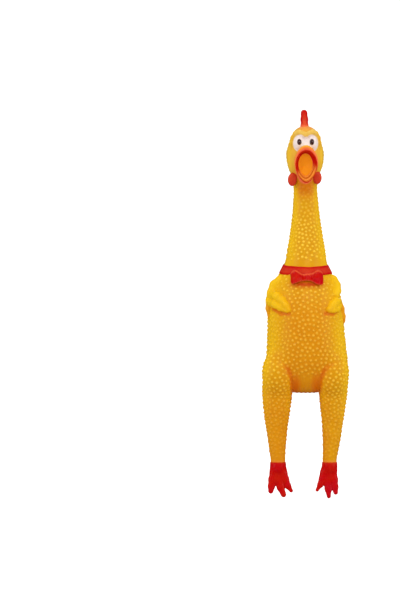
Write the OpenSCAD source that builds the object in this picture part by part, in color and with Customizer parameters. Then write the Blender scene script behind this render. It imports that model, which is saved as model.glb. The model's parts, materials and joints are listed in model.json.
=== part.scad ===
// Squealing rubber chicken: a hollow soft-vinyl figure that is squeezed round the belly.
// Front is -Y, up is +Z, and the origin is the middle of the belly, where a hand grips it.
// The bendable skin is made in sections. Each section plugs a hollow ball into the open end
// of the one before it, so air can pass from the belly through the neck to the open beak.

/* [Skin] */
// Wall of the soft vinyl skin
wall = 2.4; // [1.8:0.2:2.8]
// Gap between two skin sections that bend against each other
joint_gap = 0.5; // [0.3:0.1:0.8]
// Gap between pieces that are fitted together and don't move
fit_gap = 0.1; // [0.05:0.05:0.2]

/* [Torso] */
// Width of the torso at the belly
torso_w = 79; // [66:1:95]
// Depth of the torso, chest to back
torso_d = 74; // [64:1:89]
// Height of the collar's lower edge above the grip
shoulder_z = 58; // [50:1:70]
// Height of the rump's lower edge, below the grip
rump_z = -64; // [-77:1:-58]
// Radius of the skin under the collar's lower edge
shoulder_r = 25; // [23:0.5:28]

/* [Neck] */
// Radius of the neck at the collar's upper edge
neck_base_r = 21.3; // [19:0.1:23]
// Radius of the neck just below the head
neck_top_r = 12; // [11.6:0.1:14]
// Length of the neck, from the collar's upper edge to the jaw
neck_len = 80; // [70:1:96]
// How far the neck bends forward or back at its base, in degrees
neck_bend = 40; // [20:1:40]
// How far the neck bends to either side, in degrees
neck_sway = 35; // [20:1:35]
// How far the head nods, in degrees
head_nod = 25; // [10:1:25]

/* [Collar and bow] */
// Height of the collar band
collar_h = 9; // [7:0.5:11]
// Thickness of the collar band
collar_t = 1.2; // [0.8:0.1:2]
// Width of the bow tie
bow_w = 33; // [27:1:40]
// Height of the bow tie at its ends
bow_h = 13; // [10:1:16]

/* [Head] */
// Height of the head, jaw to crown
head_h = 61; // [54:1:70]
// Width of the head at the cheeks
head_w = 38.4; // [36:0.2:44]
// Depth of the head, face to nape
head_d = 42; // [39:1:48]
// Height of the comb above the crown
comb_h = 20; // [14:1:26]
// Width of the beak
beak_w = 24; // [21:0.5:27]
// Height of the beak
beak_h = 37; // [33:1:42]
// How far the beak stands out of the face
beak_out = 14; // [10:1:18]
// Width of the open mouth
mouth_w = 16; // [14:0.5:18]
// Height of the open mouth
mouth_h = 26; // [22:1:30]
// Depth of the mouth's lining behind the face
mouth_deep = 9; // [6:1:12]

/* [Eyes] */
// Distance between the pupils
pupil_gap = 13.2; // [11:0.2:16]
// Height of one white of the eye
eye_h = 17; // [14:0.5:20]
// Height of a pupil
pupil_h = 6.2; // [4:0.2:8]

/* [Wattles] */
// Distance between the middles of the two wattles
wattle_gap = 27; // [24:1:32]
// Height of one wattle
wattle_h = 13; // [10:0.5:16]

/* [Legs] */
// Distance between the middles of the two legs
leg_gap = 55.4; // [50:1:60]
// Radius of a leg where it leaves the body
leg_top_r = 14.8; // [13:0.1:16.4]
// Radius of a leg at the ankle
ankle_r = 7.6; // [6.8:0.1:9]
// Length of a leg, from below the rump to the foot
leg_len = 68; // [60:1:82]
// How far forward of the middle the legs stand
leg_fwd = 5; // [2:1:8]
// How far a leg spreads outwards, in degrees
leg_spread = 30; // [15:1:30]
// How far a leg closes inwards, in degrees
leg_close = 6; // [2:1:6]
// How far a leg swings forward or back, in degrees
leg_swing = 40; // [20:1:40]
// How far a foot flexes, in degrees
foot_flex = 30; // [15:1:30]

/* [Feet] */
// Length of a foot, ankle to the tip of the middle toe
foot_len = 38; // [32:1:46]
// Spread of the toe tips, outer to inner
foot_spread = 20.5; // [17:0.5:25]
// Thickness of the foot's palm
foot_t = 9; // [7:0.5:11]

/* [Belly] */
// Width of the front of the belly that a squeeze pushes in
press_w = 44; // [34:1:50]
// Height of the front of the belly that a squeeze pushes in
press_h = 52; // [40:1:60]
// Height of its middle, from the grip
press_z = -2; // [-8:1:6]

/* [Whistle] */
// Outer radius of the whistle's housing
whistle_r = 8; // [7:0.1:8.2]
// Wall of the housing
whistle_wall = 1.2; // [0.8:0.1:1.6]
// Length of the housing
whistle_len = 17; // [15:0.5:20]
// Width of the reed
reed_w = 5; // [3.5:0.5:6]
// Thickness of the reed
reed_t = 0.3; // [0.2:0.1:0.5]

/* [Hidden] */
loft_fn = 36;
ball_fn = 16;
turn_fn = 72;
sliver = 0.02;
yellow = [0.93, 0.68, 0.05];
red = [0.78, 0.05, 0.04];
orange = [0.93, 0.42, 0.08];

// Heights of the fixed points, bottom to top
collar_top_z = shoulder_z + collar_h;
jaw_z = collar_top_z + neck_len;
crown_z = jaw_z + head_h;
leg_top_z = rump_z - 2;
ankle_z = leg_top_z - leg_len;

// Radius of the neck and of a leg at a height: each narrows fast, then slowly
function share(z, z0, z1) = min(1, max(0, (z - z0) / (z1 - z0)));
function neck_r(z) = neck_top_r + (neck_base_r - neck_top_r) * pow(1 - share(z, collar_top_z, jaw_z), 1.5);
function leg_r(z) = ankle_r + (leg_top_r - ankle_r) * pow(1 - share(z, leg_top_z, ankle_z), 1.3);

// Joint heights
neck_bend_z = collar_top_z + 0.2 * neck_len;
neck_sway_z = collar_top_z + 0.56 * neck_len;
head_nod_z = collar_top_z + 0.925 * neck_len;
hip_z = leg_top_z - 0.12 * leg_len;
swing_z = leg_top_z - 0.42 * leg_len;
flex_z = ankle_z + 4;

// Half the opening that a bend of this angle needs between two tubes of this radius
function bend_room(r, angle) = r * tan(angle / 2) + joint_gap;
neck_bend_room = bend_room(neck_r(neck_bend_z - 7), neck_bend);
neck_sway_room = bend_room(neck_r(neck_sway_z - 5), neck_sway);
head_nod_room = bend_room(neck_r(head_nod_z), head_nod);
hip_room = bend_room(leg_r(hip_z + 4), leg_spread);
swing_room = bend_room(leg_r(swing_z + 4), leg_swing);
flex_room = bend_room(leg_r(flex_z), foot_flex);

// ---- Lofts: rows of [height, half width, half depth, middle's shift to the back] ----
function between(a, b, c, d, t) =
    0.5 * (2 * b + (c - a) * t + (2 * a - 5 * b + 4 * c - d) * t * t + (3 * b - a - 3 * c + d) * t * t * t);
function smoothed(rows, steps) = [
    for (i = [0 : len(rows) - 2], k = [0 : steps - 1])
        between(rows[max(i - 1, 0)], rows[i], rows[i + 1], rows[min(i + 2, len(rows) - 1)], k / steps),
    rows[len(rows) - 1]];
function shrunk(rows, by) = [for (r = rows) [r[0], max(r[1] - by, 0.5), max(r[2] - by, 0.5), r[3]]];

module oval_slice(row) {
    translate([0, row[3], row[0]])
        scale([row[1], row[2], 1])
            cylinder(r = 1, h = sliver, $fn = loft_fn);
}

module loft(rows) {
    for (i = [0 : len(rows) - 2])
        hull() {
            oval_slice(rows[i]);
            oval_slice(rows[i + 1]);
        }
}

// Torso, from the rump to the collar, then on up the neck to the first bend
torso_h = shoulder_z - rump_z;
torso_shape = [
    [0.00, 0.36, 0.20, 12],
    [0.05, 0.58, 0.42, 9],
    [0.14, 0.82, 0.72, 4],
    [0.28, 0.94, 0.91, 0],
    [0.45, 1.00, 1.00, -1],
    [0.62, 0.98, 0.99, -1],
    [0.77, 0.91, 0.91, 0],
    [0.89, 0.79, 0.78, 0]];
stub_top_z = neck_bend_z - neck_bend_room;
torso_rows = concat(
    smoothed(concat(
        [for (s = torso_shape) [rump_z + s[0] * torso_h, s[1] * torso_w / 2, s[2] * torso_d / 2, s[3]]],
        [[shoulder_z, shoulder_r, shoulder_r, 0]]), 2),
    [for (z = [collar_top_z, stub_top_z]) [z, neck_r(z), neck_r(z), 0]]);

// The top of a thigh, which merges with the belly's side, and the stump that the leg plugs into
thigh_out = 2.5;
thigh_up = 28;
hip_top_z = hip_z + hip_room;
module thigh(shrink) {
    r = leg_top_r - shrink;
    hull() {
        translate([leg_gap / 2 + thigh_out, -leg_fwd - 4, leg_top_z + thigh_up])
            sphere(r = r - 0.5, $fn = ball_fn);
        translate([leg_gap / 2, -leg_fwd, leg_top_z + 1])
            cylinder(r = r, h = sliver, $fn = loft_fn);
    }
    hull()
        for (z = [leg_top_z + 1 + sliver, hip_top_z])
            translate([leg_gap / 2, -leg_fwd, z])
                cylinder(r = leg_r(z) - shrink, h = sliver, $fn = loft_fn);
}

module both_sides() {
    children();
    mirror([1, 0, 0]) children();
}

module torso_outside() {
    loft(torso_rows);
    both_sides() thigh(0);
}

module torso_inside() {
    rows = shrunk(torso_rows, wall);
    first = rows[1];
    last = rows[len(rows) - 1];
    loft(concat([[rump_z + wall, 0.4 * first[1], 0.3 * first[2], first[3]]],
        [for (i = [1 : len(rows) - 1]) rows[i]],
        [[last[0] + 1, last[1], last[2], 0]]));
    both_sides() {
        thigh(wall);
        translate([leg_gap / 2, -leg_fwd, hip_top_z - 1])
            cylinder(r = leg_r(hip_top_z) - wall, h = 3, $fn = loft_fn);
    }
}

// The part of the belly's front that a squeeze pushes in, cut out along the squeeze
module press_prism(grow) {
    translate([0, 0, press_z])
        rotate([90, 0, 0])
            scale([press_w / 2 + grow, press_h / 2 + grow, 1])
                cylinder(r = 1, h = torso_d, $fn = loft_fn);
}

module torso_skin() {
    color(yellow)
        difference() {
            torso_outside();
            torso_inside();
            press_prism(joint_gap);
        }
}

module belly_front() {
    color(yellow)
        intersection() {
            difference() {
                loft(torso_rows);
                torso_inside();
            }
            press_prism(0);
        }
}

// What is laid on the torso keeps this much clear of it
module torso_keepout() {
    loft([for (r = torso_rows) [r[0], r[1] + fit_gap, r[2] + fit_gap, r[3]]]);
}

// ---- Collar and bow ----
module collar_band() {
    low = shoulder_z + 0.5;
    color(red)
        rotate_extrude($fn = turn_fn)
            polygon([
                [shoulder_r + fit_gap, low],
                [shoulder_r + fit_gap + collar_t, low],
                [neck_base_r + fit_gap + collar_t, collar_top_z],
                [neck_base_r + fit_gap, collar_top_z]]);
}

bow_z = shoulder_z + 0.32 * collar_h;
bow_front = shoulder_r + collar_t + 3.4;
knot_r = 3.4;

module collar_keepout() {
    translate([0, 0, shoulder_z - bow_h])
        cylinder(r = shoulder_r + collar_t + 2 * fit_gap, h = bow_h + 1, $fn = turn_fn);
    translate([0, 0, shoulder_z + 1])
        cylinder(r1 = shoulder_r + collar_t + 2 * fit_gap, r2 = neck_base_r + collar_t + 2 * fit_gap,
            h = collar_h, $fn = turn_fn);
}

// One loop of the bow: narrow at the knot, tall and rounded at its end
module bow_loop() {
    reach = bow_w / 2 - 2;
    hull() {
        for (end = [-1, 1])
            translate([reach, -shoulder_r + 1.5, bow_z - 2.5 + end * (bow_h / 2 - 2)])
                sphere(r = 2, $fn = ball_fn);
        for (end = [-1, 1])
            translate([reach * 0.72, -bow_front + 1.4, bow_z - 1.5 + end * (bow_h / 2 - 3)])
                sphere(r = 2.2, $fn = ball_fn);
        for (end = [-1, 1])
            translate([2, -bow_front + 1.5, bow_z - 0.5 + end * 1.6])
                sphere(r = 1.6, $fn = ball_fn);
    }
}

module left_bow_loop() {
    color(red)
        difference() {
            bow_loop();
            collar_keepout();
            torso_keepout();
            knot_blank(fit_gap);
        }
}

module right_bow_loop() { mirror([1, 0, 0]) left_bow_loop(); }

module knot_blank(grow) {
    hull()
        for (end = [-1, 1])
            translate([0, -bow_front + 0.8, bow_z - 0.5 + end * 1.6])
                sphere(r = knot_r + grow, $fn = ball_fn);
}

module bow_knot() {
    color(red)
        difference() {
            knot_blank(0);
            collar_keepout();
            torso_keepout();
        }
}

// ---- Wings: an upper arm, a leaf-shaped hand folded to the front, and a flight feather behind ----
module wing_part(a, ra, b, rb) {
    hull() {
        translate(a) sphere(r = ra, $fn = ball_fn);
        translate(b) sphere(r = rb, $fn = ball_fn);
    }
}

module wing_blank() {
    w = torso_w / 2;
    d = torso_d / 2;
    h = shoulder_z;
    shoulder = [0.70 * w, -0.38 * d, 0.82 * h];
    elbow = [0.89 * w, -0.20 * d, 0.54 * h];
    wrist = [0.82 * w, -0.50 * d, 0.60 * h];
    palm = [0.66 * w, -0.68 * d, 0.48 * h];
    heel = [0.78 * w, -0.52 * d, 0.42 * h];
    tip = [0.45 * w, -0.87 * d, 0.34 * h];
    wing_part(shoulder, 6, elbow, 5.6);
    wing_part(shoulder, 5, wrist, 5);
    wing_part(elbow, 5.2, wrist, 5);
    wing_part(elbow, 5.2, heel, 4.6);
    wing_part(wrist, 5, palm, 5.2);
    wing_part(heel, 4.6, palm, 5.2);
    wing_part(wrist, 5, heel, 4.6);
    wing_part(palm, 5.2, tip, 2.8);
    wing_part(elbow, 5, [0.99 * w, 0.02 * d, 0.26 * h], 3);
}

module wing() {
    color(yellow)
        difference() {
            wing_blank();
            torso_keepout();
        }
}

module left_wing() { wing(); }
module right_wing() { mirror([1, 0, 0]) wing(); }

// ---- Bending sections: each carries a hollow ball that plugs into the open end before it ----
plug_wall = 1.6;

// The widest ball that clears the open end it plugs into
function plug_r(joint_r, rim_r, room) =
    min(joint_r - 0.8, sqrt(pow(rim_r - wall, 2) + room * room) - joint_gap);

// How far round the ball the skin runs past the joint, so that no bend uncovers its edge
function plug_low(rim_r, room, bend) = min(bend + atan(room / (rim_r - wall)) + 4, 76);

// Half section of the ball, from where it leaves the section's end face, round its edge and back
// inside. up = 1 has the section above the joint and the ball below it; up = -1 turns it over.
function plug_points(ball, room, low, up) =
    let (
        inner = ball - plug_wall,
        from = asin(min(0.97, room / ball)),
        to = asin(min(0.97, (room + wall) / inner)),
        n = 7)
    concat(
        [for (i = [0 : n]) let (a = from - (from + low) * i / n) ball * [cos(a), up * sin(a)]],
        [for (i = [0 : n]) let (a = -low + (to + low) * i / n) inner * [cos(a), up * sin(a)]]);

// A tube round Z from joint_z + up * room to far_z, with its ball at joint_z.
// radii: its radius at evenly spaced heights, from the joint's end to the far end.
module bend_tube(joint_z, far_z, room, radii, ball, low, up) {
    steps = len(radii) - 1;
    near_z = joint_z + up * room;
    heights = [for (i = [0 : steps]) near_z + (far_z - near_z) * i / steps];
    web = plug_points(ball, room, low, up);
    rotate_extrude($fn = turn_fn)
        polygon(concat(
            [for (i = [steps : -1 : 0]) [radii[i], heights[i]]],
            [for (p = web) [p[0], p[1] + joint_z]],
            [[radii[0] - wall, web[len(web) - 1][1] + joint_z]],
            [for (i = [1 : steps]) [radii[i] - wall, heights[i]]]));
}

module neck_lower_skin() {
    low = neck_bend_z + neck_bend_room;
    high = neck_sway_z - neck_sway_room;
    rim_r = neck_r(neck_bend_z - neck_bend_room);
    color(yellow)
        bend_tube(neck_bend_z, high, neck_bend_room, [for (i = [0 : 5]) neck_r(low + (high - low) * i / 5)],
            plug_r(neck_r(neck_bend_z), rim_r, neck_bend_room), plug_low(rim_r, neck_bend_room, neck_bend), 1);
}

module neck_upper_skin() {
    low = neck_sway_z + neck_sway_room;
    high = head_nod_z - head_nod_room;
    rim_r = neck_r(neck_sway_z - neck_sway_room);
    color(yellow)
        bend_tube(neck_sway_z, high, neck_sway_room, [for (i = [0 : 5]) neck_r(low + (high - low) * i / 5)],
            plug_r(neck_r(neck_sway_z), rim_r, neck_sway_room), plug_low(rim_r, neck_sway_room, neck_sway), 1);
}

module hip_skin() {
    high = hip_z - hip_room;
    low = swing_z + swing_room;
    rim_r = leg_r(hip_z + hip_room);
    color(yellow)
        translate([leg_gap / 2, -leg_fwd, 0])
            bend_tube(hip_z, low, hip_room, [for (i = [0 : 4]) leg_r(high + (low - high) * i / 4)],
                plug_r(leg_r(hip_z), rim_r, hip_room), plug_low(rim_r, hip_room, leg_spread), -1);
}

module shin_skin() {
    high = swing_z - swing_room;
    low = flex_z + flex_room;
    rim_r = leg_r(swing_z + swing_room);
    color(yellow)
        translate([leg_gap / 2, -leg_fwd, 0])
            bend_tube(swing_z, low, swing_room, [for (i = [0 : 4]) leg_r(high + (low - high) * i / 4)],
                plug_r(leg_r(swing_z), rim_r, swing_room), plug_low(rim_r, swing_room, leg_swing), -1);
}

module left_hip_skin() { hip_skin(); }
module right_hip_skin() { mirror([1, 0, 0]) hip_skin(); }
module left_shin_skin() { shin_skin(); }
module right_shin_skin() { mirror([1, 0, 0]) shin_skin(); }

// ---- Feet: a glove-like palm and three toes, each bent at a knuckle ----
// lean: where the middle toe's tip points, from the leg's middle towards the other leg
module foot(lean) {
    top = flex_z - flex_room;
    root_z = ankle_z - 0.56 * foot_len;
    outer = -0.33 * foot_spread;
    inner = 0.67 * foot_spread;
    toes = [
        [[0.80 * outer, root_z + 1], [1.10 * outer, root_z - 5], [1.0 * outer, ankle_z - 0.86 * foot_len + 2.2]],
        [[0.14 * inner, root_z], [0.5 * lean + 0.9, root_z - 7], [lean, ankle_z - foot_len + 2.6]],
        [[0.52 * inner, root_z + 2], [0.76 * inner, root_z - 3], [0.95 * inner, ankle_z - 0.82 * foot_len + 2]]];
    toe_r = 3.7;
    color(red) {
        hull() {
            translate([0, 0, top - sliver])
                cylinder(r = leg_r(flex_z) + 0.3, h = sliver, $fn = loft_fn);
            translate([0, 0, ankle_z - 3])
                cylinder(r = ankle_r + 0.3, h = sliver, $fn = loft_fn);
        }
        hull() {
            translate([0, 0, ankle_z - 3])
                cylinder(r = ankle_r + 0.3, h = sliver, $fn = loft_fn);
            for (t = toes)
                translate([-t[0][0], 0, t[0][1]])
                    scale([1, foot_t / 2 / toe_r, 1])
                        sphere(r = toe_r, $fn = ball_fn);
        }
        for (t = toes, k = [0, 1])
            hull()
                for (j = [k, k + 1])
                    translate([-t[j][0], 0, t[j][1]])
                        sphere(r = [toe_r, 3.5, 2.4][j], $fn = ball_fn);
        translate([0, 0, flex_z])
            sphere(r = plug_r(leg_r(flex_z), leg_r(flex_z + flex_room), flex_room), $fn = loft_fn);
    }
}

module left_foot() {
    translate([leg_gap / 2, -leg_fwd, 0]) foot(0.5);
}
module right_foot() {
    mirror([1, 0, 0]) translate([leg_gap / 2, -leg_fwd, 0]) foot(5.5);
}

// ---- Head ----
head_shape = [
    [0.08, 0.67, 0.66, 0],
    [0.18, 0.74, 0.76, 0],
    [0.31, 0.83, 0.90, 0],
    [0.44, 0.95, 0.98, 0],
    [0.54, 1.00, 1.00, 0],
    [0.65, 0.94, 0.98, 0],
    [0.78, 0.83, 0.90, 0.5],
    [0.90, 0.67, 0.70, 1.5],
    [0.97, 0.42, 0.44, 2],
    [1.00, 0.16, 0.18, 2]];
head_low_z = head_nod_z + head_nod_room;
// The jaw is at least wide enough for the flange of the whistle that is pushed into it
flange_out = 1;
jaw_r = max(neck_top_r, whistle_r + flange_out + fit_gap + wall);
head_rows = concat(
    [[head_low_z, jaw_r, jaw_r, 0]],
    smoothed(concat([[jaw_z + 0.02 * head_h, jaw_r, jaw_r, 0]],
        [for (s = head_shape)
            let (least = s[0] < 0.4 ? jaw_r + 0.6 : 0)
            [jaw_z + s[0] * head_h, max(s[1] * head_w / 2, least), max(s[2] * head_d / 2, least), s[3]]]), 2));

module head_outside(grow = 0) {
    loft([for (r = head_rows) [r[0], r[1] + grow, r[2] + grow, r[3]]]);
}

module head_inside() {
    rows = shrunk(head_rows, wall);
    kept = [for (r = rows) if (r[0] < crown_z - 2 * wall) r];
    loft(concat([[kept[0][0] - 1, kept[0][1], kept[0][2], 0]], kept));
}

// The beak is an open oval funnel round the mouth. Its middle:
beak_z = jaw_z + 0.355 * head_h;
face_y = -head_d / 2;

// An oval rod along Y from y0 to y1, given its half widths and heights at each end
module oval_rod(y0, w0, h0, y1, w1, h1) {
    hull() {
        translate([0, y0, beak_z]) rotate([90, 0, 0]) scale([w0, h0, 1]) cylinder(r = 1, h = sliver, $fn = loft_fn);
        translate([0, y1, beak_z]) rotate([90, 0, 0]) scale([w1, h1, 1]) cylinder(r = 1, h = sliver, $fn = loft_fn);
    }
}

lining_w = mouth_w / 2 + 0.6;
lining_h = mouth_h / 2 + 0.6;
module mouth_hole(grow) {
    oval_rod(face_y - 3, lining_w + grow, lining_h + grow, face_y + mouth_deep + 2, lining_w + grow, lining_h + grow);
}

// A shelf across the throat holds the whistle
shelf_z = head_low_z + 4;
shelf_t = 3;
module head_skin() {
    rim_r = neck_r(head_nod_z - head_nod_room);
    web = plug_points(plug_r(neck_r(head_nod_z), rim_r, head_nod_room), head_nod_room,
        plug_low(rim_r, head_nod_room, head_nod), 1);
    color(yellow) {
        difference() {
            head_outside();
            difference() {
                head_inside();
                translate([0, 0, shelf_z])
                    cylinder(r = head_w, h = shelf_t, $fn = turn_fn);
            }
            translate([0, 0, shelf_z - 1])
                cylinder(r = whistle_r + fit_gap, h = shelf_t + 2, $fn = turn_fn);
            translate([0, 0, shelf_z + shelf_t])
                cylinder(r = whistle_r + flange_out + fit_gap, h = whistle_len - shelf_t + 2, $fn = turn_fn);
            mouth_hole(fit_gap);
        }
        translate([0, 0, head_nod_z])
            rotate_extrude($fn = loft_fn)
                polygon(concat([[jaw_r - 0.3, head_nod_room]], web,
                    [[jaw_r - 0.3, web[len(web) - 1][1]]]));
    }
}

module beak_blank(grow) {
    union() {
        oval_rod(face_y - beak_out, beak_w / 2 - 1.2 + grow, beak_h / 2 - 1.5 + grow,
            face_y - 2, beak_w / 2 + grow, beak_h / 2 + grow);
        oval_rod(face_y - 2, beak_w / 2 + grow, beak_h / 2 + grow,
            face_y + 7, beak_w / 2 - 0.5 + grow, beak_h / 2 - 1 + grow);
    }
}

module beak() {
    color(orange)
        difference() {
            beak_blank(0);
            oval_rod(face_y - beak_out - 1, mouth_w / 2 + 1.6, mouth_h / 2 + 2.4,
                face_y - 3, lining_w + fit_gap, lining_h + fit_gap);
            mouth_hole(fit_gap);
            head_outside(fit_gap);
            both_sides() eyeball(fit_gap);
        }
}

lining_t = 1.4;
module mouth_lining() {
    back = face_y + mouth_deep;
    color(orange)
        difference() {
            oval_rod(face_y - 1.5, lining_w, lining_h, back, lining_w - 0.8, lining_h - 1.2);
            oval_rod(face_y - 2.5, lining_w - lining_t, lining_h - lining_t,
                back - lining_t, lining_w - 0.8 - lining_t, lining_h - 1.2 - lining_t);
            translate([0, back + 2, beak_z - lining_h + 6])
                rotate([90, 0, 0])
                    cylinder(r = 2.2, h = 8, $fn = turn_fn);
        }
}

// ---- Eyes, comb and wattles ----
eye_z = jaw_z + 0.725 * head_h;
module eyeball(grow) {
    translate([pupil_gap / 2, 0.62 * face_y, eye_z])
        scale([0.37 * eye_h + grow, 8.6 + grow, eye_h / 2 + grow])
            sphere(r = 1, $fn = 24);
}

module left_eye() {
    color([0.93, 0.88, 0.86])
        difference() {
            intersection() {
                eyeball(0);
                translate([fit_gap / 2, -head_d, eye_z - eye_h])
                    cube([head_w, head_d, 2 * eye_h]);
            }
            head_outside(fit_gap);
        }
}

module right_eye() { mirror([1, 0, 0]) left_eye(); }

module left_pupil() {
    color([0.25, 0.10, 0.10])
        difference() {
            translate([pupil_gap / 2, 0.62 * face_y - 8.1, eye_z + 0.6])
                scale([0.35 * pupil_h, 1.3, pupil_h / 2])
                    sphere(r = 1, $fn = 20);
            eyeball(fit_gap / 2);
        }
}

module right_pupil() { mirror([1, 0, 0]) left_pupil(); }

module comb() {
    color(red)
        difference() {
            union() {
                hull() {
                    translate([0, -3, crown_z - 6]) sphere(r = 3, $fn = ball_fn);
                    translate([0, 10, crown_z - 8]) sphere(r = 3, $fn = ball_fn);
                    translate([0, 3, crown_z + 0.5 * comb_h]) sphere(r = 3.3, $fn = ball_fn);
                    translate([0, 8.5, crown_z + 0.5 * comb_h]) sphere(r = 3.3, $fn = ball_fn);
                }
                hull() {
                    translate([0, 3, crown_z + 0.5 * comb_h]) sphere(r = 3.3, $fn = ball_fn);
                    translate([0, 8.5, crown_z + 0.5 * comb_h]) sphere(r = 3.3, $fn = ball_fn);
                    translate([0, 5, crown_z + comb_h - 3]) sphere(r = 3, $fn = ball_fn);
                    translate([0, 8, crown_z + comb_h - 3.5]) sphere(r = 3, $fn = ball_fn);
                }
            }
            head_outside(fit_gap);
        }
}

module wattle() {
    color(red)
        difference() {
            hull() {
                translate([wattle_gap / 2, -9, beak_z - 14.6])
                    scale([1, 1.25, 1]) sphere(r = 0.43 * wattle_h, $fn = ball_fn);
                translate([wattle_gap / 2 - 2, -9, beak_z - 14.6 + 0.42 * wattle_h])
                    sphere(r = 3.2, $fn = ball_fn);
            }
            head_outside(fit_gap);
            beak_blank(fit_gap);
        }
}

module left_wattle() { wattle(); }
module right_wattle() { mirror([1, 0, 0]) wattle(); }

// ---- Whistle: a tube in the throat with a tongue of brass over a slotted board ----
flange_t = 1.4;
whistle_low_z = shelf_z - 1;
whistle_top_z = whistle_low_z + whistle_len;
bore_r = whistle_r - whistle_wall;
board_top_z = whistle_top_z - 1.2;
board_len = whistle_len - 5;

module whistle_housing() {
    flange_z = shelf_z + shelf_t;
    color([0.92, 0.92, 0.9])
        rotate_extrude($fn = turn_fn)
            polygon([
                [bore_r, whistle_low_z],
                [whistle_r, whistle_low_z],
                [whistle_r, flange_z],
                [whistle_r + flange_out, flange_z],
                [whistle_r + flange_out, flange_z + flange_t],
                [whistle_r, flange_z + flange_t],
                [whistle_r, whistle_top_z],
                [bore_r, whistle_top_z]]);
}

module whistle_cap() {
    color([0.92, 0.92, 0.9])
        difference() {
            translate([0, 0, whistle_top_z])
                cylinder(r = whistle_r + flange_out, h = 1.5, $fn = turn_fn);
            for (i = [0 : 5])
                rotate([0, 0, 60 * i + 30])
                    translate([0.58 * bore_r, 0, whistle_top_z - 1])
                        cylinder(r = 1.1, h = 4, $fn = turn_fn);
        }
}

// A disc that closes the bore, with a half-round slotted tongue hanging from it
module reed_board() {
    tongue_r = 0.62 * bore_r;
    color([0.15, 0.35, 0.75])
        difference() {
            union() {
                translate([0, 0, board_top_z - 1.6])
                    cylinder(r = bore_r - fit_gap / 2, h = 1.6, $fn = turn_fn);
                intersection() {
                    translate([0, 0, board_top_z - board_len])
                        cylinder(r = tongue_r, h = board_len - 1, $fn = turn_fn);
                    translate([-bore_r, 0, board_top_z - board_len])
                        cube([2 * bore_r, bore_r, board_len]);
                }
            }
            translate([-0.3 * reed_w, -1, board_top_z - board_len + 1.5])
                cube([0.6 * reed_w, 0.45 * tongue_r + 1, board_len]);
        }
}

clamp_h = 2.6;
module reed_clamp() {
    color([0.15, 0.35, 0.75])
        translate([-reed_w / 2, -2.2 - reed_t, board_top_z - 1.6 - clamp_h])
            cube([reed_w, 2.2 + reed_t - 0.15, clamp_h - fit_gap]);
}

reed_top_z = board_top_z - 1.6 - clamp_h - 0.2;
module reed() {
    color([0.85, 0.68, 0.3])
        translate([-reed_w / 2, -0.15 - reed_t, board_top_z - board_len + 0.5])
            cube([reed_w, reed_t, reed_top_z - (board_top_z - board_len + 0.5)]);
}

torso_skin();
belly_front();
collar_band();
left_bow_loop();
right_bow_loop();
bow_knot();
left_wing();
right_wing();
neck_lower_skin();
neck_upper_skin();
head_skin();
comb();
left_eye();
right_eye();
left_pupil();
right_pupil();
beak();
mouth_lining();
left_wattle();
right_wattle();
whistle_housing();
whistle_cap();
reed_board();
reed_clamp();
reed();
left_hip_skin();
right_hip_skin();
left_shin_skin();
right_shin_skin();
left_foot();
right_foot();
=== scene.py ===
"""The soft vinyl skin, sprayed features and studio of a squealing rubber chicken.

The skin is one field of distances, sampled to a mesh and studded with small raised bumps.
It is then cut into stretches at the joints of the frame.
Fields and shapes are in millimetres in the frame's axes; meshes are in metres.
"""

import json
import math

import bpy
import numpy as np
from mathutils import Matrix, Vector
from mathutils.kdtree import KDTree


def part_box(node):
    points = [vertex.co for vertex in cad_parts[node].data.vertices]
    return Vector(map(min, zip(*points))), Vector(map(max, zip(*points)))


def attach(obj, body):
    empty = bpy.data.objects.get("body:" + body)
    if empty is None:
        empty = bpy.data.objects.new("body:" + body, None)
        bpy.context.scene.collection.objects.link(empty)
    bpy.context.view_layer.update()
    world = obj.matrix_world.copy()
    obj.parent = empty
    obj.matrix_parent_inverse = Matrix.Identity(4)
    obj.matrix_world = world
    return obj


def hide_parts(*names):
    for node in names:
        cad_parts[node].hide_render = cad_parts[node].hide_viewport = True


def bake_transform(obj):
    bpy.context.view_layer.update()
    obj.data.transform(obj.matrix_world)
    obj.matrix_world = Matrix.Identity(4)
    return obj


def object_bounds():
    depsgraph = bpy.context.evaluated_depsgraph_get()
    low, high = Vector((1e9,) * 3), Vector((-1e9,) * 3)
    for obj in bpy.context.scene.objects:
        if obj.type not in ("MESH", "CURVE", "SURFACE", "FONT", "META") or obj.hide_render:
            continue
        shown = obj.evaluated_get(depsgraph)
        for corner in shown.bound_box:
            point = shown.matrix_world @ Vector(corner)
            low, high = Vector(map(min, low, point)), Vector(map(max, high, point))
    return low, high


bl_info = {
    "name": "Rubber chicken",
    "version": (1, 0, 0),
    "blender": (4, 5, 0),
    "location": "View3D > Sidebar > Chicken",
    "description": "Builds the skin, the sprayed features and the studio of a squealing rubber chicken",
    "category": "Object",
}

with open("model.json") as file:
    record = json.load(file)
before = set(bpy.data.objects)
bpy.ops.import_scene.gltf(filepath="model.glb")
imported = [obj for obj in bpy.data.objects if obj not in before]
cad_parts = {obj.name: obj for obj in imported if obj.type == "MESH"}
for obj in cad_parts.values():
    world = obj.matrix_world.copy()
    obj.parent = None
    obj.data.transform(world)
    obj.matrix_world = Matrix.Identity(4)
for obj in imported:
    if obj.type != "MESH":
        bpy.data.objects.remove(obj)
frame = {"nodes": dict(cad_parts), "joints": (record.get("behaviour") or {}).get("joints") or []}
CAD_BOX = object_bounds()
MM = 0.001
SEED = 11


def span(node):
    """Lowest and highest corner of a frame node, in millimetres."""
    low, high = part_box(node)
    return np.array(low) / MM, np.array(high) / MM


def pivot(joint):
    """Where a joint of the frame turns, in millimetres."""
    found = next(j for j in frame["joints"] if j["name"] == joint)
    return np.array(found["pos_m"]) / MM


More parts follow.
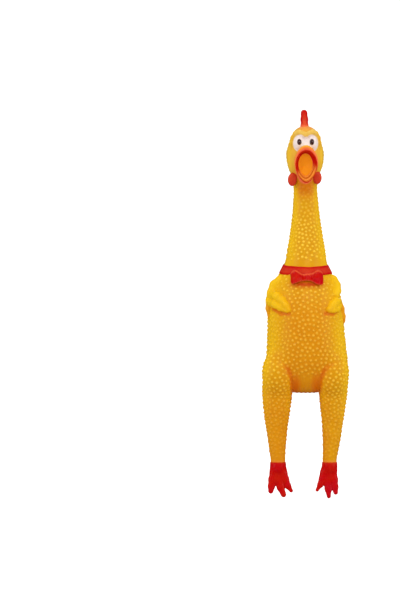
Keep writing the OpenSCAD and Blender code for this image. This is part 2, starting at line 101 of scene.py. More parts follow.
COLLAR_LOW, COLLAR_HIGH = span("collar_band")
HEAD_HIGH = span("head_skin")[1]
COMB_HIGH = span("comb")[1]
BEAK_LOW, BEAK_HIGH = span("beak")
PUPIL_LOW, PUPIL_HIGH = span("left_pupil")
FOOT_LOW = span("left_foot")[0]
CROWN_Z = HEAD_HIGH[2]
MOUTH_Z = (BEAK_LOW[2] + BEAK_HIGH[2]) / 2
RIM_Y = BEAK_LOW[1]
ANKLE_Z = pivot("left_foot_flex")[2] - 4.7
RUMP_Z = -64.5
COLLAR_TILT = 3.0
FACE_X, COMB_X = -0.7, -0.9  # the face and the comb lean a little to the chicken's right
WING_MIDDLE, WING_REACH = (32, -14, 30), 42
LEG_MIDDLE, LEG_REACH = (28, -5, -92), 78


def collar_edge(y):
    """Height of the collar's lower edge, which is lower at the front than at the back."""
    return COLLAR_LOW[2] - 0.2 + COLLAR_TILT * np.clip(y / 26, -1, 1)


# ---------------------------------------------------------------- settings


class ChickenSkin(bpy.types.PropertyGroup):
    """Sizes of the skin's surface."""

    lattice: bpy.props.FloatProperty(
        name="Lattice", description="Spacing of the points the skin is sampled at, in mm", default=0.5, min=0.3, max=2
    )
    bump_gap: bpy.props.FloatProperty(
        name="Bump spacing", description="Distance between neighbouring bumps, in mm", default=4.45, min=2, max=8
    )
    bump_radius: bpy.props.FloatProperty(
        name="Bump radius", description="Radius of one bump at its foot, in mm", default=1.6, min=0.5, max=3
    )
    bump_height: bpy.props.FloatProperty(
        name="Bump height", description="How far a bump stands out, in mm", default=0.85, min=0, max=2
    )


class ChickenPaint(bpy.types.PropertyGroup):
    """Colours of the vinyl, of what is sprayed on it, and of the painted highlights, sheen and shade."""

    yellow: bpy.props.FloatVectorProperty(
        name="Yellow", description="The vinyl's own colour", subtype="COLOR", size=4, default=(0.71, 0.325, 0.001, 1)
    )
    # Painted highlight: the light caught on the top of each bump, painted in this lighter yellow.
    tip: bpy.props.FloatVectorProperty(
        name="Bump tips",
        description="Colour at the top of a bump",
        subtype="COLOR",
        size=4,
        default=(1.0, 0.64, 0.05, 1),
    )
    # Painted sheen: this lighter yellow stands for the light on the flanks that face the side lamps, on the wings and
    # on the head. It also colours the beak's root.
    gold: bpy.props.FloatVectorProperty(
        name="Gold",
        description="Lighter yellow of the wings and flanks",
        subtype="COLOR",
        size=4,
        default=(0.88, 0.52, 0.004, 1),
    )
    # On the skin this orange is painted shade: in the crotch, the thigh creases, under the wings and beak, and on the
    # front of the belly and legs. On the beak it is laid into the coral.
    orange: bpy.props.FloatVectorProperty(
        name="Orange",
        description="Orange mist on the yellow",
        subtype="COLOR",
        size=4,
        default=(0.72, 0.155, 0.0005, 1),
    )
    red: bpy.props.FloatVectorProperty(
        name="Red",
        description="Collar, bow, comb, wattles and feet",
        subtype="COLOR",
        size=4,
        default=(0.55, 0.004, 0.001, 1),
    )
    coral: bpy.props.FloatVectorProperty(
        name="Coral", description="Outside of the beak", subtype="COLOR", size=4, default=(0.90, 0.17, 0.055, 1)
    )
    mouth: bpy.props.FloatVectorProperty(
        name="Mouth", description="Inside of the mouth", subtype="COLOR", size=4, default=(0.90, 0.27, 0.001, 1)
    )
    white: bpy.props.FloatVectorProperty(
        name="Eye white", description="Whites of the eyes", subtype="COLOR", size=4, default=(0.87, 0.74, 0.70, 1)
    )
    pupil: bpy.props.FloatVectorProperty(
        name="Pupil", description="Pupils", subtype="COLOR", size=4, default=(0.045, 0.010, 0.010, 1)
    )


class ChickenStudio(bpy.types.PropertyGroup):
    """The camera and the lights."""

    distance: bpy.props.FloatProperty(
        name="Camera distance", description="From the camera to the chicken", default=2.1, min=0.5, unit="LENGTH"
    )
    side_light: bpy.props.FloatProperty(
        name="Side light", description="Power of each side softbox, in W", default=2.8, min=0
    )
    front_light: bpy.props.FloatProperty(
        name="Front light", description="Power of the front softbox, in W", default=2.0, min=0
    )
    strip_light: bpy.props.FloatProperty(
        name="Strip light",
        description="Power of the narrow light that glints on bumps and pupils, in W",
        default=1.6,
        min=0,
    )
    world_light: bpy.props.FloatProperty(
        name="Room light", description="Brightness of the white room", default=0.88, min=0
    )
    room_gloss: bpy.props.FloatProperty(
        name="Room gloss", description="Brightness of the room in the vinyl's gloss", default=0.02, min=0
    )


# ---------------------------------------------------------------- fields


def smooth_min(a, b, k):
    """Joins two fields with a fillet about k wide."""
    h = np.clip(0.5 + 0.5 * (b - a) / k, 0, 1)
    return b + (a - b) * h - k * h * (1 - h)


def smooth_max(a, b, k):
    return -smooth_min(-a, -b, k)


def ease(low, high, x):
    t = np.clip((x - low) / (high - low), 0, 1)
    return t * t * (3 - 2 * t)


def oval(x, y, rx, ry):
    """Distance to an ellipse in a plane, near enough close to it."""
    k1 = np.sqrt((x / rx) ** 2 + (y / ry) ** 2)
    k2 = np.sqrt((x / rx**2) ** 2 + (y / ry**2) ** 2)
    return k1 * (k1 - 1) / np.maximum(k2, 1e-6)


def ellipsoid(p, centre, radii):
    q = (p - np.array(centre)) / np.array(radii)
    k1 = np.sqrt((q**2).sum(1))
    k2 = np.sqrt(((q / np.array(radii)) ** 2).sum(1))
    return k1 * (k1 - 1) / np.maximum(k2, 1e-6)


def taper(p, a, b, ra, rb, flat=1.0):
    """A rod with round ends from a to b, narrowing from ra to rb. flat under 1 thins it front to back."""
    a, b = np.array(a, float), np.array(b, float)
    squeeze = np.array([1, 1 / flat, 1])
    q, a, b = p * squeeze, a * squeeze, b * squeeze
    d = b - a
    t = np.clip(((q - a) @ d) / (d @ d), 0, 1)
    return (np.sqrt(((q - a - t[:, None] * d) ** 2).sum(1)) - (ra + (rb - ra) * t)) * (0.5 + 0.5 * flat)


def chain(p, points, k, flat=1.0):
    """Tapered rods through rows of [x, y, z, radius], joined smoothly."""
    d = None
    for a, b in zip(points[:-1], points[1:]):
        rod = taper(p, a[:3], b[:3], a[3], b[3], flat)
        d = rod if d is None else smooth_min(d, rod, k)
    return d


def add(d, p, centre, reach, shape, k):
    """Joins a local shape to a field, reckoned only within reach of its centre."""
    close = np.flatnonzero(((p - np.array(centre)) ** 2).sum(1) < reach**2)
    if len(close):
        q = p[close]
        d[close] = smooth_min(d[close], shape(q), k(q) if callable(k) else k)
    return d


class Profile:
    """Smooth curves through rows of [height, value, value, ...]."""

    def __init__(self, rows):
        rows = np.array(sorted(rows), float)
        x, y = rows[:, 0], rows[:, 1:]
        step = np.diff(x)[:, None]
        rise = np.diff(y, axis=0) / step
        inner = (rise[:-1] * step[1:] + rise[1:] * step[:-1]) / (step[1:] + step[:-1])
        slope = np.vstack([rise[:1], inner, rise[-1:]])
        self.x = np.linspace(x[0], x[-1], 900)
        i = np.clip(np.searchsorted(x, self.x, side="right") - 1, 0, len(x) - 2)
        t = ((self.x - x[i]) / step[i, 0])[:, None]
        self.y = (
            (2 * t**3 - 3 * t**2 + 1) * y[i]
            + (t**3 - 2 * t**2 + t) * step[i] * slope[i]
            + (3 * t**2 - 2 * t**3) * y[i + 1]
            + (t**3 - t**2) * step[i] * slope[i + 1]
        )
        self.lean = 1 / np.sqrt(1 + np.gradient(self.y[:, 0], self.x) ** 2)

    def at(self, z, column):
        return np.interp(z, self.x, self.y[:, column])

    def leaning(self, z):
        return np.interp(z, self.x, self.lean)


# Trunk, neck and skull: height, half width, half depth, shift to the back, shift to the left
TRUNK = Profile(
    [
        (-80, 10, 8, 10, 0),
        (-66, 20, 18, 7, 0),
        (-60, 27, 22.5, 5, 0),
        (-54, 34, 26.5, 3.6, 0),
        (-46, 39.4, 30, 2.2, 0.4),
        (-38, 41.6, 32.8, 1.2, 0.9),
        (-30, 41.5, 34.8, 0.5, 1.2),
        (-22, 40.6, 36, 0, 1.0),
        (-12, 39.9, 36.8, -0.4, 0.7),
        (-2, 39.2, 37, -0.8, 0.3),
        (12, 38.6, 36.8, -1, 0.1),
        (26, 37.0, 35.4, -0.8, 0),
        (38, 34.8, 33, -0.4, 0),
        (46, 32.4, 30.4, 0, 0),
        (53, 29.4, 27.4, 0, 0),
        (59, 26.2, 25.2, 0, 0.1),
        (67, 22.3, 22.3, 0, 0.2),
        (74, 20.5, 20.5, 0, 0.5),
        (82, 19.1, 19.1, 0, 0.6),
        (90, 17.7, 17.7, 0, 0.65),
        (98, 16.4, 16.4, 0, 0.65),
        (107, 15.2, 15.2, 0, 0.55),
        (115, 14.2, 14.2, 0, 0.45),
        (123, 13.4, 13.4, 0, 0.35),
        (131, 12.8, 12.8, 0, 0.2),
        (138, 12.2, 12.2, 0, 0),
        (146, 12.0, 12.2, 0, -0.2),
        (152, 12.7, 13.6, 0, -0.3),
        (158, 13.8, 15.8, 0, -0.4),
        (164, 15.2, 17.8, 0, -0.5),
        (170, 17.2, 19.6, 0.2, -0.5),
        (176, 18.8, 20.5, 0.6, -0.5),
        (181, 19.2, 20.6, 0.9, -0.5),
        (187, 17.9, 19.8, 1.4, -0.4),
        (193, 16.2, 18.2, 2.0, -0.3),
        (199, 14.0, 15.6, 2.6, -0.2),
        (205, 10.6, 11.4, 3.2, -0.1),
        (209, 7.4, 7.6, 3.4, 0),
        (216, 3, 3, 3.4, 0),
    ]
)
# Legs, for the chicken's left (+X) and right (-X): height, shift outwards, radius, shift to the front
LEGS = {
    1: Profile(
        [
            (-142, 24.3, 7.2, 5.2),
            (-131, 24.5, 7.3, 5.2),
            (-124, 25.2, 7.8, 5.2),
            (-116, 26.0, 8.6, 5.2),
            (-107, 26.6, 9.5, 5.2),
            (-98, 27.0, 10.2, 5.2),
            (-88, 27.4, 11.5, 5.3),
            (-78, 27.6, 12.7, 5.6),
            (-66, 27.7, 14.2, 6.2),
            (-54, 27.9, 15.0, 7.5),
            (-40, 28.2, 14, 9),
        ]
    ),
    -1: Profile(
        [
            (-142, 28.4, 7.4, 5.2),
            (-131, 28.5, 7.6, 5.2),
            (-124, 29.0, 8.2, 5.2),
            (-116, 29.2, 9.0, 5.2),
            (-107, 29.4, 10.0, 5.2),
            (-98, 29.7, 11.1, 5.2),
            (-88, 29.7, 12.6, 5.3),
            (-78, 29.5, 13.8, 5.6),
            (-66, 29.1, 15.0, 6.2),
            (-54, 28.9, 15.6, 7.5),
            (-40, 28.6, 14, 9),
        ]
    ),
}


def on_trunk(x, z, proud, radius):
    """The middle of a ball that stands this proud of the trunk's front, where the surface is at x and z."""
    rx, ry = TRUNK.at(z, 0), TRUNK.at(z, 1)
    u = min(0.985, abs(x) / rx)
    surface = np.array([x, TRUNK.at(z, 2) - ry * math.sqrt(1 - u * u)])
    normal = np.array([x / rx**2, (surface[1] - TRUNK.at(z, 2)) / ry**2])
    normal /= np.linalg.norm(normal)
    middle = surface + normal * (proud - radius)
    return middle[0], middle[1], z, radius


def trunk_field(p):
    z = p[:, 2]
    d = oval(p[:, 0] - TRUNK.at(z, 3), p[:, 1] - TRUNK.at(z, 2), TRUNK.at(z, 0), TRUNK.at(z, 1)) * TRUNK.leaning(z)
    d = smooth_max(d, RUMP_Z - z, 9)
    return smooth_max(d, z - CROWN_Z - 1.4, 6)


def leg_field(p, side):
    shape = LEGS[side]
    z = p[:, 2]
    off = np.stack([p[:, 0] - side * shape.at(z, 0), p[:, 1] + shape.at(z, 2)], 1)
    d = (np.sqrt((off**2).sum(1)) - shape.at(z, 1)) * 0.97
    d = smooth_max(d, z + 46, 16)
    dome = ellipsoid(p, (28.0 * side - 0.8, -15.0, -43.5), (15.9, 16.0, 22.5))
    return smooth_min(d, dome, 5)


# Wings: rows of [outwards, height, how far it stands proud, radius]. The two differ a little, as the casts do.
WINGS = {
    -1: {
        "arm": [
            (27.0, 54.5, -0.8, 4.0), (28.6, 51.0, 1.0, 4.8), (32.0, 45.5, 3.2, 5.6),
            (34.2, 38.0, 3.6, 5.6), (35.6, 29.5, 3.8, 5.2),
        ],
        "hand": [
            (34.0, 35.0, 3.4, 4.2), (29.5, 34.6, 4.0, 4.2), (24.6, 30.4, 3.8, 4.0),
            (20.4, 24.6, 3.0, 3.2), (18.2, 20.2, 1.8, 2.2),
        ],
        "edge": [(35.0, 28.0, 3.4, 4.4), (30.6, 26.6, 3.8, 4.4), (25.6, 23.4, 3.4, 3.8), (19.6, 19.8, 2.0, 2.4)],
        "crest": [(33.0, 37.6, 3.8, 1.5), (25.0, 33.2, 3.9, 1.5), (21.9, 28.4, 3.5, 1.5), (18.6, 21.6, 2.2, 1.3)],
        "feather": [(37.2, 31, 2.4, 3.6), (38.2, 22, 1.6, 3.2), (38.2, 14.5, 0.7, 2.4)],
    },
    1: {
        "arm": [
            (26.8, 54.5, -0.6, 4.0), (28.8, 51.0, 1.8, 4.6), (30.2, 45.6, 3.0, 5.0),
            (30.8, 40.0, 2.8, 4.8), (29.8, 36.0, 2.2, 4.2),
        ],
        "hand": [(32.0, 29.4, 2.2, 4.4), (29.0, 28.6, 3.6, 4.4), (25.4, 25.4, 3.8, 4.2), (21.2, 21.0, 2.4, 2.6)],
        "edge": [(32.8, 24.6, 2.0, 3.8), (29.8, 22.0, 2.8, 3.6), (25.6, 20.6, 2.8, 3.0), (21.6, 19.8, 1.8, 2.2)],
        "crest": [(30.8, 31.4, 3.6, 1.4), (26.6, 28.8, 3.9, 1.5), (22.6, 24.0, 2.9, 1.3)],
        "feather": [(34.2, 30, 1.2, 3.4), (36.4, 22, 1.5, 3.2), (37.9, 14, 1.4, 3.0), (38.6, 9.5, 1.1, 2.5)],
    },
}
for rows in WINGS.values():
    for part, line in rows.items():
        rows[part] = [on_trunk(x, z, proud + min(1.6, 0.7 * proud), radius) for x, z, proud, radius in line]


def wing_field(p, side):
    q = p * np.array([side, 1, 1])
    rows = WINGS[side]
    d = smooth_min(chain(q, rows["arm"], 2.5), chain(q, rows["feather"], 2.0), 1.2)
    hand = smooth_min(chain(q, rows["hand"], 2.0), chain(q, rows["edge"], 2.0), 0.5)
    hand = smooth_min(hand, chain(q, rows["crest"], 1.5), 0.5)
    return smooth_min(d, hand, 0.7)


# Brow roll, from the dip between the eyes to the temple
BROW = [
    (0.0, -18.8, 197.6, 2.2),
    (3.0, -18.9, 199.2, 2.4),
    (6.6, -18.0, 201.0, 2.6),
    (10.2, -15.4, 199.8, 2.5),
    (12.8, -12.8, 195.8, 2.3),
    (14.0, -11.2, 190.6, 2.1),
    (14.0, -10.8, 186.0, 1.7),
]
EYE_Z = 189.9


def face_field(d, p):
    """Brow rolls, eye lobes and the bridge the beak grows out of."""
    p = p - np.array([FACE_X, 0, 0])
    for side in (-1, 1):
        q = p * np.array([side, 1, 1])
        d = add(d, q, (6.4, -13, EYE_Z), 20, lambda r: ellipsoid(r, (6.5, -12.9, EYE_Z), (6.3, 9.0, 8.7)), 1.0)
        d = add(d, q, (8, -15, 194), 22, lambda r: chain(r, BROW, 2.0), 2.2)
        d = add(d, q, (12, -6, 173), 20, lambda r: ellipsoid(r, (11.0, -6, 172), (6.4, 9, 12)), 5)
    return add(d, p, (0, -18, 186), 14, lambda r: taper(r, (0, -16.5, 192), (0, -20.5, 183.5), 2.8, 4.2), 3)


def mirrored(place, side):
    return side * place[0], place[1], place[2]


def thigh_fillet(p):
    """Width of the fillet between leg and trunk: a crease below, a soft join at the top of the thigh."""
    return 1.3 + 5 * ease(-42, -24, p[:, 2])


def skin_field(p):
    """The whole skin without its bumps."""
    d = trunk_field(p)
    for side in (-1, 1):
        d = add(d, p, mirrored(LEG_MIDDLE, side), LEG_REACH, lambda q: leg_field(q, side), thigh_fillet)
        d = add(d, p, mirrored(WING_MIDDLE, side), WING_REACH, lambda q: wing_field(q, side), 0.8)
    return face_field(d, p)


def evaluate(field, p, chunk=400000):
    return np.concatenate([field(p[i : i + chunk]) for i in range(0, len(p), chunk)])


def gradient(field, p, eps=0.06):
    g = np.empty_like(p)
    for axis in range(3):
        step = np.zeros(3)
        step[axis] = eps
        g[:, axis] = (evaluate(field, p + step) - evaluate(field, p - step)) / (2 * eps)
    return g


# ---------------------------------------------------------------- meshes from fields


def nearest_skin(field, v, step, rounds=2):
    """Moves points onto the field's surface."""
    for _ in range(rounds):
        f = evaluate(field, v)
        g = gradient(field, v)
        move = (f / np.maximum((g**2).sum(1), 0.05))[:, None] * g
        size = np.sqrt((move**2).sum(1))
        move *= np.minimum(1, 0.6 * step / np.maximum(size, 1e-9))[:, None]
        v = v - move
    return v


def evened(v, quads, amount=0.5):
    """Draws each point towards the middle of its neighbours."""
    total = np.zeros_like(v)
    count = np.zeros(len(v))
    for a, b in ((0, 1), (1, 2), (2, 3), (3, 0)):
        for s, t in ((a, b), (b, a)):
            for axis in range(3):
                total[:, axis] += np.bincount(quads[:, s], v[quads[:, t], axis], len(v))
            count += np.bincount(quads[:, s], minlength=len(v))
    return v + amount * (total / np.maximum(count, 1)[:, None] - v)


def polygonise(field, low, high, step):
    """The field's zero surface as (points, quads): one point in each lattice cell that it crosses."""
    low = np.floor(np.array(low, float) / step) * step
    blocks = np.ceil((np.array(high) - low) / (4 * step)).astype(int)
    counts = blocks * 4 + 1
    middle = np.stack(np.meshgrid(*[np.arange(n) for n in blocks], indexing="ij"), -1).reshape(-1, 3)
    rough = evaluate(field, low + (middle * 4 + 2) * step)
    kept = middle[np.abs(rough) < 4 * step * 1.15 + 0.8] * 4
    need = np.zeros(counts, bool)
    for i in range(5):
        for j in range(5):
            for k in range(5):
                need[kept[:, 0] + i, kept[:, 1] + j, kept[:, 2] + k] = True
    index = np.flatnonzero(need)
    value = np.full(int(counts.prod()), np.nan, np.float32)
    value[index] = evaluate(field, low + np.stack(np.unravel_index(index, counts), 1) * step)
    value = value.reshape(counts)
    cells, points = [], []
    for axis in range(3):
        a = value[tuple(slice(None, -1) if n == axis else slice(None) for n in range(3))]
        b = value[tuple(slice(1, None) if n == axis else slice(None) for n in range(3))]
        cross = ((a < 0) != (b < 0)) & np.isfinite(a) & np.isfinite(b)
        at = np.argwhere(cross)
        va, vb = a[cross].astype(float), b[cross].astype(float)
        point = at.astype(float)
        point[:, axis] += va / (va - vb)
        u, w = (axis + 1) % 3, (axis + 2) % 3
        whole = (at[:, u] > 0) & (at[:, w] > 0)
        at, va, point = at[whole], va[whole], point[whole]
        quad = []
        for du, dw in ((-1, -1), (0, -1), (0, 0), (-1, 0)):
            c = at.copy()
            c[:, u] += du
            c[:, w] += dw
            quad.append(np.ravel_multi_index(c.T, counts))
        quad = np.stack(quad, 1)
        quad[va >= 0] = quad[va >= 0][:, ::-1]
        cells.append(quad)
        points.append(point)
    cells, points = np.concatenate(cells), np.concatenate(points)
    used, inverse = np.unique(cells.ravel(), return_inverse=True)
    inverse = inverse.reshape(-1)
    count = np.bincount(inverse)
    v = np.stack([np.bincount(inverse, np.repeat(points[:, n], 4)) / count for n in range(3)], 1)
    return low + v * step, inverse.reshape(-1, 4)


def surface(field, low, high, step, rounds=3):
    """A smooth, even quad mesh of the field's surface."""
    v, quads = polygonise(field, low, high, step)
    for n in range(rounds):
        v = nearest_skin(field, v, step, 1)
        if n < rounds - 1:
            v = evened(v, quads, 0.6)
    return nearest_skin(field, v, step, 1), quads


def point_normals(v, quads):
    n = np.cross(v[quads[:, 2]] - v[quads[:, 0]], v[quads[:, 3]] - v[quads[:, 1]])
    total = np.stack(
        [sum(np.bincount(quads[:, c], n[:, axis], len(v)) for c in range(4)) for axis in range(3)], 1
    )
    return total / np.maximum(np.linalg.norm(total, axis=1), 1e-12)[:, None]


def build(name, v, faces, normals=None, masks=None):
    """A smooth-shaded object from points in millimetres, with its masks and rest places stored on the points."""
    mesh = bpy.data.meshes.new(name)
    if isinstance(faces, np.ndarray):
        size = faces.shape[1]
        mesh.vertices.add(len(v))
        mesh.vertices.foreach_set("co", (v * MM).astype(np.float32).ravel())
        mesh.loops.add(faces.size)
        mesh.loops.foreach_set("vertex_index", faces.astype(np.int32).ravel())
        mesh.polygons.add(len(faces))
        mesh.polygons.foreach_set("loop_start", np.arange(0, faces.size, size, dtype=np.int32))
        mesh.update(calc_edges=True)
    else:
        mesh.from_pydata((v * MM).tolist(), [], faces)
    mesh.polygons.foreach_set("use_smooth", np.ones(len(mesh.polygons), bool))
    place = mesh.attributes.new("rest", "FLOAT_VECTOR", "POINT")
    place.data.foreach_set("vector", (v * MM).astype(np.float32).ravel())
    for key, value in (masks or {}).items():
        mesh.attributes.new(key, "FLOAT", "POINT").data.foreach_set("value", value.astype(np.float32))
    if normals is not None:
        mesh.normals_split_custom_set_from_vertices(normals.astype(np.float32))
    obj = bpy.data.objects.new(name, mesh)
    bpy.context.scene.collection.objects.link(obj)
    return obj


def field_piece(name, field, low, high, step, masks=None):
    """An object made straight from a field. masks(points) gives its paint masks."""
    v, quads = surface(field, low, high, step)
    return build(name, v, quads, point_normals(v, quads), masks(v) if masks else None)


def rings_piece(name, rings, closed_ends=(False, False), masks=None):
    """An object skinned over rings of points, closed loops of one count. masks has a value for each ring or point."""
    rings = np.array(rings, float)
    rows, count = rings.shape[:2]
    v = rings.reshape(-1, 3)
    faces = []
    for r in range(rows - 1):
        for c in range(count):
            d = (c + 1) % count
            faces.append((r * count + c, r * count + d, (r + 1) * count + d, (r + 1) * count + c))
    masks = {k: np.repeat(m, count) if len(m) == rows else m for k, m in (masks or {}).items()}
    for end, row, flip in ((closed_ends[0], 0, True), (closed_ends[1], rows - 1, False)):
        if end:
            middle = len(v)
            v = np.vstack([v, rings[row].mean(0)])
            masks = {k: np.append(m, m[row * count]) for k, m in masks.items()}
            for c in range(count):
                d = (c + 1) % count
                a, b = row * count + c, row * count + d
                faces.append((b, a, middle) if flip else (a, b, middle))
    return build(name, v, faces, masks=masks)


# ---------------------------------------------------------------- bumps and paint masks


def scattered(points, gaps, rng):
    """Picks points, each at least its own gap from the others, in an even, irregular pattern."""
    cell = gaps.max()
    taken, chosen = {}, []
    for n in rng.permutation(len(points)):
        x, y, z = points[n]
        least = gaps[n] ** 2
        i, j, k = int(x // cell), int(y // cell), int(z // cell)
        near = (
            q
            for a in (i - 1, i, i + 1)
            for b in (j - 1, j, j + 1)
            for c in (k - 1, k, k + 1)
            for q in taken.get((a, b, c), ())
        )
        if all((x - q[0]) ** 2 + (y - q[1]) ** 2 + (z - q[2]) ** 2 >= least for q in near):
            taken.setdefault((i, j, k), []).append((x, y, z))
            chosen.append(n)
    return points[chosen]


def nearest(points, seeds):
    """Index of and distance to the nearest seed of each point."""
    tree = KDTree(len(seeds))
    for n, s in enumerate(seeds):
        tree.insert(s, n)
    tree.balance()
    found = [tree.find(p)[1:] for p in points]
    return np.array([f[0] for f in found]), np.array([f[1] for f in found])


def bump_share(p):
    """How strong the bumps are, from 0 to 1, over the skin."""
    x, y, z = p.T
    share = np.ones(len(p))
    for side in (-1, 1):
        q = np.flatnonzero(((p - np.array(mirrored(WING_MIDDLE, side))) ** 2).sum(1) < WING_REACH**2)
        share[q] *= ease(0.4, 2.4, wing_field(p[q], side))
    share *= 1 - ease(-40, -52, z) * ease(16, 11, np.abs(x))
    share *= 1 - 0.55 * ease(96, 132, z)
    share *= 1 - 0.45 * ease(-80, -116, z)
    share *= ease(ANKLE_Z + 1.5, ANKLE_Z + 6, z)
    above = z - collar_edge(y)
    share *= 1 - ease(0.7, 2.2, above) * ease(14.7, 13.4, above)
    share *= 1 - ease(44, 49, z) * ease(60, 55, z) * ease(18, 14, np.abs(x)) * ease(0, -6, y)
    share *= 1 - ease(150, 158, z) * ease(-2, -9, y) * 0.9
    share *= 1 - ease(-10, -12.5, y) * ease(150, 156, z)
    share *= 1 - ease(197, 202, z) * 0.7
    return share


def paint_masks(p, normals):
    """Where each sprayed colour, painted shade, painted sheen and painted highlight lies on the skin, from 0 to 1."""
    x, y, z = p.T
    # Painted sheen: the flanks that face the side lamps are made lighter yellow, less so towards the feet.
    gold = 0.75 * ease(0.35, 0.95, np.abs(normals[:, 0])) * ease(-120, -60, z)
    front = ease(4, -10, y)
    x = x - FACE_X
    reach = np.sqrt(((np.abs(x) - 6.2) / 6.6) ** 2 + ((z - EYE_Z) / 8.6) ** 2)
    bridge = ease(4.5, 2.0, np.abs(x)) * ease(182, 185, z) * ease(197.0, 195.2, z)
    white = np.maximum(ease(1.07, 0.92, reach), bridge) * ease(-7.5, -10.5, y)
    beak = np.sqrt((x / 10.6) ** 2 + ((z - MOUTH_Z + 2) / 18.0) ** 2)
    coral = ease(1.04, 0.94, beak) * ease(-8, -12, y)
    coral = np.maximum(coral, 0.4 * np.exp(-(((z - ANKLE_Z - 1.0) / 0.8) ** 2)))
    comb = ease(9.5, 4.0, np.sqrt((x / 1.1) ** 2 + (z - CROWN_Z - 0.5) ** 2)) * ease(-12, -6, y) * 0.55
    bow = np.exp(-(((np.abs(x) - 4) / 10.5) ** 2) - ((z - 46.5) / 3.4) ** 2) * front * 0.85
    bow = np.maximum(bow, np.exp(-(((z - collar_edge(y) - 1.4) / 1.3) ** 2)) * 0.55)
    # Painted shade, in orange, in the crotch between the thighs.
    crotch = ease(-30, -56, z) * ease(19, 12, np.abs(x)) * (0.42 + 0.58 * ease(3, 10, np.abs(x)))
    # Painted shadow under each wing's lower edge, and orange on the lower part of the feather rods.
    wing = np.zeros(len(p))
    for side in (-1, 1):
        q = p * np.array([side, 1, 1])
        under = chain(q, [on_trunk(34, 22.5, 1, 1.4), on_trunk(26, 17.4, 1, 1.4), on_trunk(18.5, 17.0, 1, 1.2)], 2)
        wing = np.maximum(wing, ease(2.6, 0.0, under))
        wing = np.maximum(wing, 0.6 * ease(1.2, 0.2, chain(q, WINGS[side]["feather"], 2)) * ease(30, 24, z))
    # More painted sheen: lighter yellow on the wings and on the head.
    for side in (-1, 1):
        gold = np.maximum(gold, ease(1.0, 0.1, np.where(z > 12, wing_field(p, side), 9)) * ease(9, 14, np.abs(x)))
    gold = np.maximum(gold, 0.3 * ease(150, 165, z))
    # Painted shadow on the throat under the beak and wattles.
    throat = ease(-4, -11, y) * ease(128, 146, z) * ease(160, 150, z) * ease(12, 4, np.abs(x))
    # Painted shade on the front of the legs: darker towards the feet, and darker on the chicken's right leg than on
    # its left.
    leg = (0.25 - 0.10 * np.tanh(x / 9)) * ease(-30, -84, z) * front
    # Painted shade on the middle of the belly's front.
    belly = 0.36 * ease(40, 12, np.abs(x)) * ease(62, 8, z) * front
    # Painted shade in the creases where the thighs meet the belly.
    crease = np.zeros(len(p))
    hips = np.flatnonzero((z > -72) & (z < -14))
    for side in (-1, 1):
        meeting = np.maximum(leg_field(p[hips], side), trunk_field(p[hips]))
        near = ease(6.0, 0.4, meeting) * ease(-2, -12, p[hips, 1]) * ease(-26, -42, p[hips, 2])
        crease[hips] = np.maximum(crease[hips], near)
    orange = np.clip(np.maximum.reduce([crotch * 0.95, wing * 0.85, throat * 0.75, leg, belly, crease * 0.92]), 0, 1)
    # Painted highlight: paler yellow on the brow rolls, and a little over the head.
    pale = ease(3.4, 1.6, chain(np.stack([np.abs(x), y, z], 1), BROW, 2) + 1.0) * (y < 0)
    pale = 0.34 * pale * ease(13.5, 10.5, np.abs(x)) + 0.15 * ease(150, 165, z)
    return {
        "gold_sheen": gold,
        "pale": pale,
        "white": white,
        "coral": coral,
        "comb_mist": comb,
        "bow_mist": bow,
        "orange_shade": orange,
    }


# ---------------------------------------------------------------- materials


def group(name, inputs, outputs):
    """An empty shader node group with its sockets. Returns the tree and its input and output nodes."""
    tree = bpy.data.node_groups.new(name, "ShaderNodeTree")
    for label, kind, default in inputs:
        socket = tree.interface.new_socket(name=label, in_out="INPUT", socket_type=kind)
        if default is not None:
            socket.default_value = default
    for label, kind in outputs:
        tree.interface.new_socket(name=label, in_out="OUTPUT", socket_type=kind)
    return tree, tree.nodes.new("NodeGroupInput"), tree.nodes.new("NodeGroupOutput")


def node(tree, kind, links=None, **settings):
    """Adds a node. settings are its properties, links its inputs: a socket to join or a value."""
    n = tree.nodes.new("ShaderNode" + kind)
    for key, value in settings.items():
        setattr(n, key, value)
    for key, value in (links or {}).items():
        socket = n.inputs[key]
        if isinstance(value, bpy.types.NodeSocket):
            tree.links.new(value, socket)
        else:
            socket.default_value = value
    return n


def mixed(tree, share, a, b, blend="MIX"):
    """A colour mix of a and b by share; returns its colour socket."""
    n = tree.nodes.new("ShaderNodeMix")
    n.data_type, n.blend_type = "RGBA", blend
    for socket, value in ((n.inputs[0], share), (n.inputs[6], a), (n.inputs[7], b)):
        if isinstance(value, bpy.types.NodeSocket):
            tree.links.new(value, socket)
        else:
            socket.default_value = value
    return n.outputs[2]


def maths(tree, operation, *values, clamp=False):
    n = tree.nodes.new("ShaderNodeMath")
    n.operation, n.use_clamp = operation, clamp
    for socket, value in zip(n.inputs, values):
        if isinstance(value, bpy.types.NodeSocket):
            tree.links.new(value, socket)
        else:
            socket.default_value = value
    return n.outputs[0]


def once(store, name):
    """Marks a maker of a material or node group, so that what is already there is used again."""

    def wrap(make):
        return lambda: getattr(bpy.data, store).get(name) or make(name)

    return wrap


